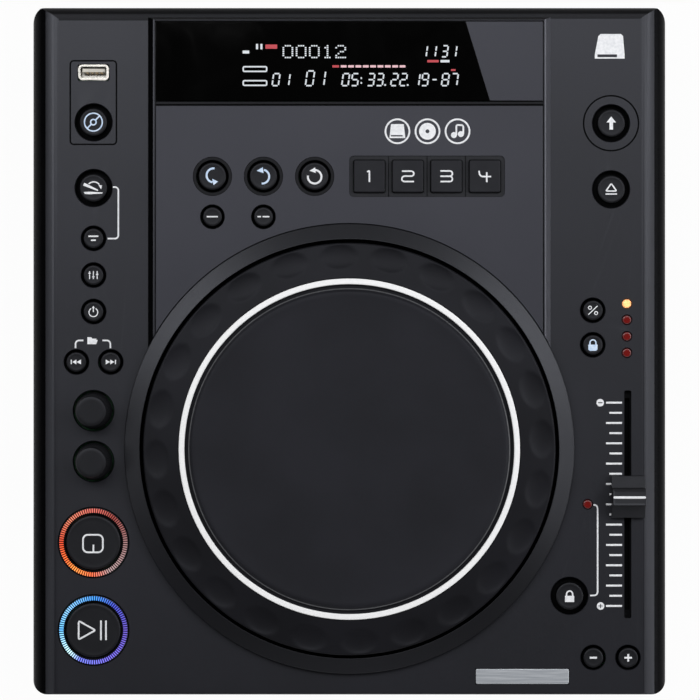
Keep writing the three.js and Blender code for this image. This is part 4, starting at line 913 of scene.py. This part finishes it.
def box_mask(position, low, high):
    """1 inside a box, in mm, and 0 outside."""
    low, high = Vector(low) * mm, Vector(high) * mm
    away = add(position, "VectorMath", {0: position, 1: (low + high) / 2}, operation="SUBTRACT")
    away = add(away, "VectorMath", {0: away}, operation="ABSOLUTE")
    away = add(away, "VectorMath", {0: away, 1: (high - low) / 2}, operation="SUBTRACT")
    x, y, z = add(away, "SeparateXYZ", {0: away}).outputs
    farther = add(away, "Math", {0: x, 1: y}, operation="MAXIMUM")
    farthest = add(away, "Math", {0: farther, 1: z}, operation="MAXIMUM")
    return add(away, "Math", {0: farthest, 1: 0}, operation="LESS_THAN")


def populated_board(name, sloping, *regions):
    """A green board with tracks and small parts; regions (low, high, colour, metallic) are what stands on it."""
    material, shader = new_material(name, {"Roughness": 0.38})
    position = object_place(shader)
    if sloping:
        position = add(shader, "Mapping", {
            "Vector": position, "Rotation": panel_back.to_euler(), "Location": panel_back.translation})
    tracks = add(shader, "TexVoronoi", {"Vector": position, "Scale": 420}, distance="CHEBYCHEV", feature="F1")
    colour = ramp(tracks, (0, (64, 58, 46)), (0.16, (24, 84, 48)), (0.42, (38, 108, 62)))
    colour.color_ramp.interpolation = "CONSTANT"
    shine = (0, 0, 0, 1)
    for low, high, tone, metallic in regions:
        mask = box_mask(position, low, high)
        colour = add(shader, "MixRGB", {"Fac": mask, "Color1": colour, "Color2": (*srgb(*tone), 1)})
        shine = add(shader, "MixRGB", {
            "Fac": mask, "Color1": shine, "Color2": (metallic, metallic, metallic, 1)})
    feed(shader, {"Base Color": colour, "Metallic": shine})
    return material


zinc_sheet = metal("zinc_sheet", (138, 141, 145), (172, 175, 178), 0.42, 0.9, 260, 260)
powder_black = moulding("powder_black", (24, 24, 26), (30, 30, 32), 0.55, grain=0.9, relief=0.05, cloud=25)
inlet_black = moulding("inlet_black", (16, 16, 17), (21, 21, 22), 0.3, grain=1.2, relief=0.01, cloud=12)
roller_rubber = moulding("roller_rubber", (30, 30, 31), (40, 40, 41), 0.75, grain=0.8, relief=0.05, cloud=6)
finish(zinc_sheet, "drive_chassis")
finish(bright_steel, "jog_spindle")
finish(powder_black, "base_pan", "rear_panel")
finish(inlet_black, "power_inlet", "power_rocker")
finish(roller_rubber, "feed_roller")
finish(moulding("spindle_nylon", (20, 20, 21), (30, 30, 32), 0.45, cloud=5), "disc_spindle")
# Near black with little sheen: painted shade for the fader body and the jog carrier, seen only down the fader's slot
# and the gap round the jog wheel.
painted_shade_steel = moulding("painted_shade_steel", (4, 4, 5), (7, 7, 8), 0.7, cloud=8, specular=0.15)
finish(painted_shade_steel, "pitch_fader_body", "jog_carrier")
far, board_top = 400, 16.15
switch_black, tin = (26, 26, 28), (170, 172, 174)
finish(populated_board(
    "sled_parts", False,
    ((-15, -81.4, 33), (15, -67.4, 38.2), (120, 122, 126), 0.8),
    ((-15, -81.4, 38.2), (15, -67.4, 40), (22, 22, 24), 0.1),
), "laser_sled")
finish(populated_board(
    "key_board", True,
    ((-far, -far, -10.35), (far, far, 5), switch_black, 0.0),
    ((-far, -far, -8.2), (far, far, 5), (58, 58, 62), 0.0),
), "left_key_board", "right_key_board")
finish(populated_board(
    "display_board", True,
    ((-far, -far, -10.35), (far, 176, 5), switch_black, 0.0),
    ((-far, 176, -10.35), (far, far, 5), (14, 17, 18), 0.1),
), "display_board")
finish(populated_board(
    "main_board", False,
    ((20, 61, board_top), (150, 150, 40), switch_black, 0.0),
    ((62, 149.8, board_top), (108, 166, 40), (20, 20, 22), 0.0),
    ((62, 165.9, board_top), (108, 180, 40), tin, 1.0),
    ((119.5, 151, board_top), (132.5, 180, 40), tin, 1.0),
), "main_board")
finish(populated_board(
    "power_board", False,
    ((-75, 61, board_top), (-13, 161, 50), (44, 44, 48), 0.0),
    ((-64, 109, board_top), (-24, 145, 37), (196, 150, 40), 0.0),
    ((-64, 109, 37), (-24, 145, 50), (60, 60, 64), 0.6),
    ((-64, 72, board_top), (-24, 92, 40), (24, 30, 52), 0.0),
    ((-64, 72, 40), (-24, 92, 50), tin, 1.0),
), "power_supply")


# Printed marks: white ink, pad-printed on the caps and screen-printed on the panels. The pictograms
# are common signs, and each is a thin layer of ink on the surface below it.
def seen(x, y):
    """The place on the panel, in mm, of a point of the view, counted from its top left in 1/700 of its width."""
    return (x - 349.3) * 0.5024, (350.2 - y) * 0.5024 + 49.4


def seen_all(*points):
    """Places on the panel of several points of the view."""
    return [seen(*point) for point in points]


def arc(x, y, radius, start, end, steps):
    """Points along an arc, degrees."""
    angles = [math.radians(start + (end - start) * i / steps) for i in range(steps + 1)]
    return [(x + radius * math.cos(angle), y + radius * math.sin(angle)) for angle in angles]


def eased(points, closed, cut):
    """The same line with its corners rounded, so that a stroke keeps its width round them."""
    line = []
    for number, point in enumerate(points):
        corner = Vector(point)
        before, after = Vector(points[number - 1]) - corner, Vector(points[(number + 1) % len(points)]) - corner
        if not closed and number in (0, len(points) - 1) or before.angle(-after, 0) < 0.5:
            line.append(point)
            continue
        start, end = (corner + side.normalized() * min(cut, side.length * 0.45) for side in (before, after))
        line += [tuple(start.lerp(corner, i / 5).lerp(corner.lerp(end, i / 5), i / 5)) for i in range(6)]
    return line


def drawn(name, strokes=(), areas=(), width=0.8, height=0.14):
    """Flat marks in mm: strokes through points, and filled outlines, where one inside another is a hole."""
    made = []
    for outlines, filled in ((strokes, False), (areas, True)):
        if not outlines:
            continue
        lines = bpy.data.curves.new(name, "CURVE")
        lines.dimensions = "2D" if filled else "3D"
        if filled:
            lines.fill_mode, lines.extrude = "BOTH", height / 2 * mm
        else:
            lines.bevel_depth, lines.bevel_resolution, lines.use_fill_caps = width / 2 * mm, 2, True
        for points in outlines:
            closed = filled or points[0] == points[-1]
            if points[0] == points[-1]:
                points = points[:-1]
            if not filled:
                points = eased(points, closed, width)
            spline = lines.splines.new("POLY")
            spline.use_cyclic_u = closed
            spline.points.add(len(points) - 1)
            for knot, (x, y) in zip(spline.points, points):
                knot.co = (x * mm, y * mm, 0, 1)
        piece = bpy.data.objects.new(name, lines)
        bpy.context.scene.collection.objects.link(piece)
        only(piece)
        bpy.ops.object.convert(target="MESH")
        piece = bpy.context.object
        if not filled:
            for vertex in piece.data.vertices:
                vertex.co.z *= height / width
        made.append(piece)
    return gather(name, made)


def printed(name, ink, body, place, rise, **marks):
    """Prints marks on a cap or panel at a place."""
    put_on(lay(drawn(name, **marks), *place, rise), ink, body, None)


white_ink = moulding("white_ink", (226, 228, 232), (244, 245, 248), 0.55, grain=0.2, relief=0.01, cloud=1.5)
blue_ink = moulding("blue_ink", (190, 214, 244), (216, 232, 252), 0.55, grain=0.2, relief=0.01, cloud=1.5)
cap_top, panel_top = 1.22, 0.02
padlock = dict(
    strokes=[[(-1.5, 0), *arc(0, 1.0, 1.5, 180, 0, 10), (1.5, 0)]],
    areas=[[(-2.3, -3.0), (2.3, -3.0), (2.3, 0.1), (-2.3, 0.1)]],
)
skip_strokes = [[(-2.5, 1.1), (-2.5, -1.1)]]
skip_areas = [[(-2.0, 0), (0.1, 1.2), (0.1, -1.2)], [(0.1, 0), (2.4, 1.2), (2.4, -1.2)]]


def flipped(lines):
    """The same lines, mirrored left to right."""
    return [[(-x, y) for x, y in line] for line in lines]


cap_marks = {
    "mode_button": dict(strokes=[
        arc(0, 0, 4.5, 0, 360, 36), arc(0, 0, 1.4, 0, 360, 16), [(1.1, 1.1), (3, 3)], [(-1.1, -1.1), (-3, -3)],
    ], width=0.75),
    "scratch_button": dict(strokes=[arc(0.2, -0.6, 3.6, 135, 40, 12)], areas=[
        [(-5.5, 1.3), (-5.2, 2.5), (-4.5, 2.6), (2.4, -0.9), (2.3, -1.6)],
        [(-5.6, -2.1), (-5.6, -3.0), (-2, -3.2), (4.9, -2.8), (4.9, -2.3), (-2, -1.9)],
        [(2.5, 1.6), (4.4, 1.3), (3.9, -0.8)],
    ], width=0.7),
    "bank_button": dict(strokes=[[(-2.5, 1.0), (2.5, 1.0)], [(-1.2, -1.0), (1.2, -1.0)]], width=0.8),
    "controller_button": dict(strokes=[
        [(-1.9, 2), (-1.9, -2)], [(0, 2), (0, -2)], [(1.9, 2), (1.9, -2)],
        [(-2.5, 0.9), (-1.3, 0.9)], [(-0.6, -0.9), (0.6, -0.9)], [(1.3, 0.3), (2.5, 0.3)],
    ], width=0.5),
    "time_button": dict(
        strokes=[arc(0, -0.4, 2.2, 60, -240, 24), [(0, 2.2), (0, -0.3)]],
        areas=[[(-0.7, 1.7), (0.7, 1.7), (0, 2.9)]], width=0.55),
    "skip_back_button": dict(strokes=skip_strokes, areas=skip_areas, width=0.6),
    "skip_forward_button": dict(strokes=flipped(skip_strokes), areas=flipped(skip_areas), width=0.6),
    "cue_button": dict(strokes=[[(0, -4.9), (0, -1.0)], [
        (-1.9, -4.9), *arc(-2.8, -2.5, 2.4, 270, 180, 6), *arc(-2.8, 1.5, 2.4, 180, 90, 6),
        *arc(2.35, 1.5, 2.4, 90, 0, 6), *arc(2.35, -2.5, 2.4, 0, -90, 6), (-1.9, -4.9),
    ]], width=0.9),
    "play_button": dict(strokes=[
        [(-7.4, -4.7), (1.0, 0), (-7.4, 4.7), (-7.4, -4.7)], [(3.8, 4.9), (3.8, -4.9)], [(6.3, 4.9), (6.3, -4.9)],
    ], width=0.9),
    "shift_button": dict(areas=[
        [(0, 3.3), (-2.4, 0.3), (-0.9, 0.3), (-0.9, -3.3), (0.9, -3.3), (0.9, 0.3), (2.4, 0.3)]]),
    "eject_button": dict(strokes=[
        [(-2.7, -0.9), (0, 2.9), (2.7, -0.9), (-2.7, -0.9)], [(-2.9, -2.4), (2.9, -2.4)]], width=0.7),
    "pitch_range_button": dict(strokes=[
        [(-2.3, -2.2), (2.4, 2.3)], arc(-1.5, 1.3, 0.8, 0, 360, 12), arc(1.6, -1.4, 0.8, 0, 360, 12)], width=0.5),
    "key_lock_button": dict(**padlock, width=0.7),
    "pitch_lock_button": dict(**padlock, width=0.8),
    "bend_minus_button": dict(strokes=[[(-1.8, 0), (1.8, 0)]], width=1.1),
    "bend_plus_button": dict(strokes=[[(-1.9, 0), (1.9, 0)], [(0, -1.9), (0, 1.9)]], width=1.0),
    "loop_in_button": dict(
        strokes=[arc(0.6, 0.4, 3.5, 82, 262, 18)], areas=[[(-0.1, -1.3), (2.9, -2.7), (0.6, -4.5)]], width=1.05),
    "loop_out_button": dict(
        strokes=[arc(-0.6, -0.2, 3.5, 75, -95, 18)], areas=[[(-3.4, 2.7), (-0.3, 4.5), (0.1, 1.5)]], width=1.05),
    "reloop_button": dict(
        strokes=[arc(0, -0.3, 3.4, 85, -190, 26)], areas=[[(-2.6, 2.7), (0.3, 4.4), (0.6, 1.6)]], width=1.05),
    "sample_button": dict(strokes=[[(-2.8, 0), (2.8, 0)]], width=0.75),
    "sampler_play_button": dict(strokes=[[(-3, 0), (-1.2, 0)], [(-0.4, 0), (3, 0)]], width=0.75),
}
blue_marks = ("mode_button", "key_lock_button", "loop_in_button", "loop_out_button")
for node, marks in cap_marks.items():
    top = cap_top + (block_rise if node in loop_buttons + little_buttons else 0)
    ink = blue_ink if node in blue_marks else white_ink
    printed(node.replace("_button", "_mark"), ink, node, seat(node), top, **marks)

numerals = {
    "pad_1": [[(-1.1, 2.1), (0, 2.9), (0, -2.9)]],
    "pad_2": [[(-3, 2.5), *arc(1.7, 1.25, 1.25, 90, -90, 8), *arc(-1.7, -1.35, 1.35, 90, 270, 8), (3.1, -2.7)]],
    "pad_3": [
        [(-3, 2.6), *arc(1.7, 1.3, 1.3, 90, -70, 8), *arc(1.7, -1.4, 1.3, 70, -90, 8), (-3, -2.7)],
        [(-3, -0.05), (2.2, -0.05)],
    ],
    "pad_4": [[(-3, 2.7), *arc(-1.0, 1.6, 1.8, 180, 270, 6), (3.1, -0.2)], [(0.9, 2.0), (0.9, -3)]],
}
for node, strokes in numerals.items():
    printed(node + "_numeral", white_ink, node, seat(node), block_rise + 1.42, strokes=strokes, width=0.85)

# Lines on the panel: brackets that join paired controls, the fader's scale, the folder sign and a drive sign
brackets = [
    seen_all((112.9, 187.1), (115.6, 187.1), (117.4, 188.0), (118.3, 189.9), (118.3, 235.8), (117.4, 237.8),
             (115.5, 238.6), (107.6, 238.6)),
    seen_all((75.5, 348.2), (75.5, 343.4), (76.4, 341.4), (78.4, 340.5), (83.4, 340.5)),
    seen_all((102.4, 340.5), (107.4, 340.5), (109.4, 341.4), (110.3, 343.4), (110.3, 348.2)),
    seen_all((593.4, 504.8), (595.3, 505.0), (597, 506.2), (597.6, 508.2), (597.6, 592), (597, 594.2),
             (595.4, 595.4), (590, 595.6)),
]
printed("panel_lines", white_ink, "housing", (0, 0), panel_top, strokes=brackets, width=0.85)

scale_top, scale_bottom, tick_gaps = 402.7, 606, 20
scale = []
for tick in range(tick_gaps + 1):
    tick_y = scale_top + tick * (scale_bottom - scale_top) / tick_gaps
    scale.append(seen_all((609.4 if tick % 2 else 606, tick_y), (622, tick_y)))
printed("fader_scale", white_ink, "housing", (0, 0), panel_top, strokes=scale, width=1.05)

minus_x, minus_v = seen(600.2, scale_top)
plus_x, plus_v = seen(600.6, scale_bottom)
signs = [
    arc(minus_x, minus_v, 1.9, 0, 345, 23),
    [(minus_x + x, minus_v + y) for x, y in ((-1.1, -0.25), (1.1, -0.25), (1.1, 0.25), (-1.1, 0.25))],
    arc(plus_x, plus_v, 1.9, 0, 345, 23),
    [(plus_x + x, plus_v + y) for x, y in (
        (-1.1, -0.22), (-0.22, -0.22), (-0.22, -1.1), (0.22, -1.1), (0.22, -0.22), (1.1, -0.22),
        (1.1, 0.22), (0.22, 0.22), (0.22, 1.1), (-0.22, 1.1), (-0.22, 0.22), (-1.1, 0.22))],
    seen_all((87.4, 344.2), (87.4, 337.2), (91.2, 337.2), (92.2, 338.6), (96.4, 338.6), (96.4, 340),
             (97.8, 340), (96.2, 344.2)),
    seen_all((594.8, 58.6), (594.8, 54.4), (598.4, 36), (600.6, 34), (621, 34), (623, 36), (624.6, 54.4),
             (624.6, 58.6)),
    seen_all((597.4, 54.4), (617, 54.4), (617, 57.2), (597.4, 57.2)),
]
printed("panel_signs", white_ink, "housing", (0, 0), panel_top, areas=signs)

# Three round signs above the pads: a drive, a disc and a note
(drive_x, sign_v), (disc_x, _), (note_x, _) = seen_all((397.3, 131.7), (427.3, 131.7), (457.3, 131.7))
rings = [arc(x, sign_v, 6.0, 0, 360, 48) for x in (drive_x, disc_x, note_x)]
rings.append([(note_x + x, sign_v + y) for x, y in ((-0.6, -1.8), (-0.6, 3.2), (2.9, 3.0), (2.9, -1.2))])
solid = [
    [(drive_x + x, sign_v + y) for x, y in ((-4, -3.4), (-3.2, 3.6), (3.2, 3.6), (4, -3.4))],
    [(drive_x + x, sign_v + y) for x, y in ((-3.3, -2.6), (2.6, -2.6), (2.6, -1.9), (-3.3, -1.9))],
    arc(disc_x, sign_v, 4.2, 0, 350, 35), arc(disc_x, sign_v, 1.0, 0, 345, 23),
    arc(note_x - 1.8, sign_v - 1.9, 1.5, 0, 345, 23), arc(note_x + 1.7, sign_v - 1.4, 1.5, 0, 345, 23),
]
printed("source_signs", white_ink, "housing", (0, 0), block_rise + 0.02, strokes=rings, areas=solid, width=0.95)

# The fader's white line, painted across its ridge
line = [[(-8.1, 0), (8.1, 0)]]
printed("fader_line", white_ink, "pitch_fader", fader_place, 11.72, strokes=line, width=1.3, height=0.3)


# Display: glowing segments and dots of the fluorescent tube, seen through the smoked window. The digits
# are a bare track number, a time and a speed, slanted as such tubes have them.
def segments(text, left, bottom, wide, tall, pitch):
    """The lit strokes of slanted seven-segment digits."""
    bars = {
        "a": ((0.12, 1), (0.88, 1)), "b": ((1, 0.94), (1, 0.56)), "c": ((1, 0.44), (1, 0.06)),
        "d": ((0.12, 0), (0.88, 0)), "e": ((0, 0.06), (0, 0.44)), "f": ((0, 0.56), (0, 0.94)),
        "g": ((0.14, 0.5), (0.86, 0.5)),
    }
    lit_bars = {
        "0": "abcdef", "1": "bc", "2": "abged", "3": "abgcd", "5": "afgcd", "7": "abc",
        "8": "abcdefg", "9": "abcdfg", "-": "g",
    }
    return [
        [(left + number * pitch + x * wide + 0.14 * y * tall, bottom + y * tall) for x, y in bars[bar]]
        for number, sign in enumerate(text) for bar in lit_bars[sign]
    ]


def glowing(name, colour):
    """A lit phosphor with a fine mesh in front of it."""
    material, shader = new_material(name, {
        "Base Color": (0.02, 0.02, 0.02, 1), "Roughness": 0.4, "Emission Strength": 1.0})
    tones = ramp(noise(object_place(shader), 2500), (0.3, colour), (0.7, colour))
    tones.color_ramp.elements[0].color = (*(0.75 * level for level in srgb(*colour)), 1)
    feed(shader, {"Emission Color": tones})
    return material


tube_unit = 6.672


def on_tube(x, y):
    """A place on the display: counted in 1/6.672 of a view unit from the tube's top left."""
    return seen(235 + x / tube_unit, 30 + y / tube_unit)


def bar_at(x, y, wide, tall):
    """A filled rectangle on the display, from its top left."""
    return [on_tube(x, y), on_tube(x + wide, y), on_tube(x + wide, y + tall), on_tube(x, y + tall)]


unit = 0.5024 / tube_unit
digits = []
for text, x, y, wide, tall, pitch in (
    ("01", 248, 374, 42, 80, 68), ("01", 470, 374, 48, 98, 74), ("05", 712, 374, 42, 80, 62),
    ("33", 880, 374, 42, 80, 60), ("22", 1038, 374, 40, 80, 60), ("19", 1184, 374, 40, 80, 58),
    ("-", 1306, 374, 38, 80, 60), ("87", 1376, 374, 42, 80, 60),
    ("11", 1236, 182, 38, 74, 60), ("31", 1376, 182, 36, 74, 58),
):
    left, bottom = on_tube(x, y)
    digits += segments(text, left, bottom, wide * unit, tall * unit, pitch * unit)

dot_rows = {
    "0": ("01110", "10001", "10001", "10001", "10001", "10001", "01110"),
    "1": ("00100", "01100", "00100", "00100", "00100", "00100", "01110"),
    "2": ("01110", "10001", "00001", "00110", "01000", "10000", "11111"),
}
dots = [
    bar_at(318 + 88 * number + 15 * column, 104 + 13 * row, 11, 9)
    for number, sign in enumerate("00012") for row, line in enumerate(dot_rows[sign])
    for column, lit_dot in enumerate(line) if lit_dot == "1"
]
white_bars = (
    (52, 140, 44, 20), (141, 96, 14, 36), (170, 96, 14, 36), (838, 318, 9, 12), (838, 350, 9, 12),
    (996, 364, 11, 11), (1146, 364, 11, 11), (1370, 203, 60, 16),
)
white_areas = [*(bar_at(*bar) for bar in white_bars), *dots]
frames = [[*bar_at(56, y, 156, 31), on_tube(56, y)] for y in (248, 341)]
pink_areas = [bar_at(706 + 49 * i, 238, 38, 15) for i in range(9)]
red_areas = [bar_at(*bar) for bar in ((204, 100, 78, 28), (1282, 203, 76, 16), (650, 238, 44, 15), (1440, 264, 30, 12))]
tube_top = 2.6
for name, phosphor, colour, marks in (
    ("display_digits", "white", (226, 232, 238), dict(strokes=digits + frames, areas=white_areas, width=0.72)),
    ("display_bar", "pink", (244, 196, 204), dict(areas=pink_areas)),
    ("display_red_marks", "red", (196, 40, 56), dict(areas=red_areas)),
):
    printed(name, glowing(phosphor + "_phosphor", colour), "housing", (0, 0), tube_top, height=0.08, **marks)
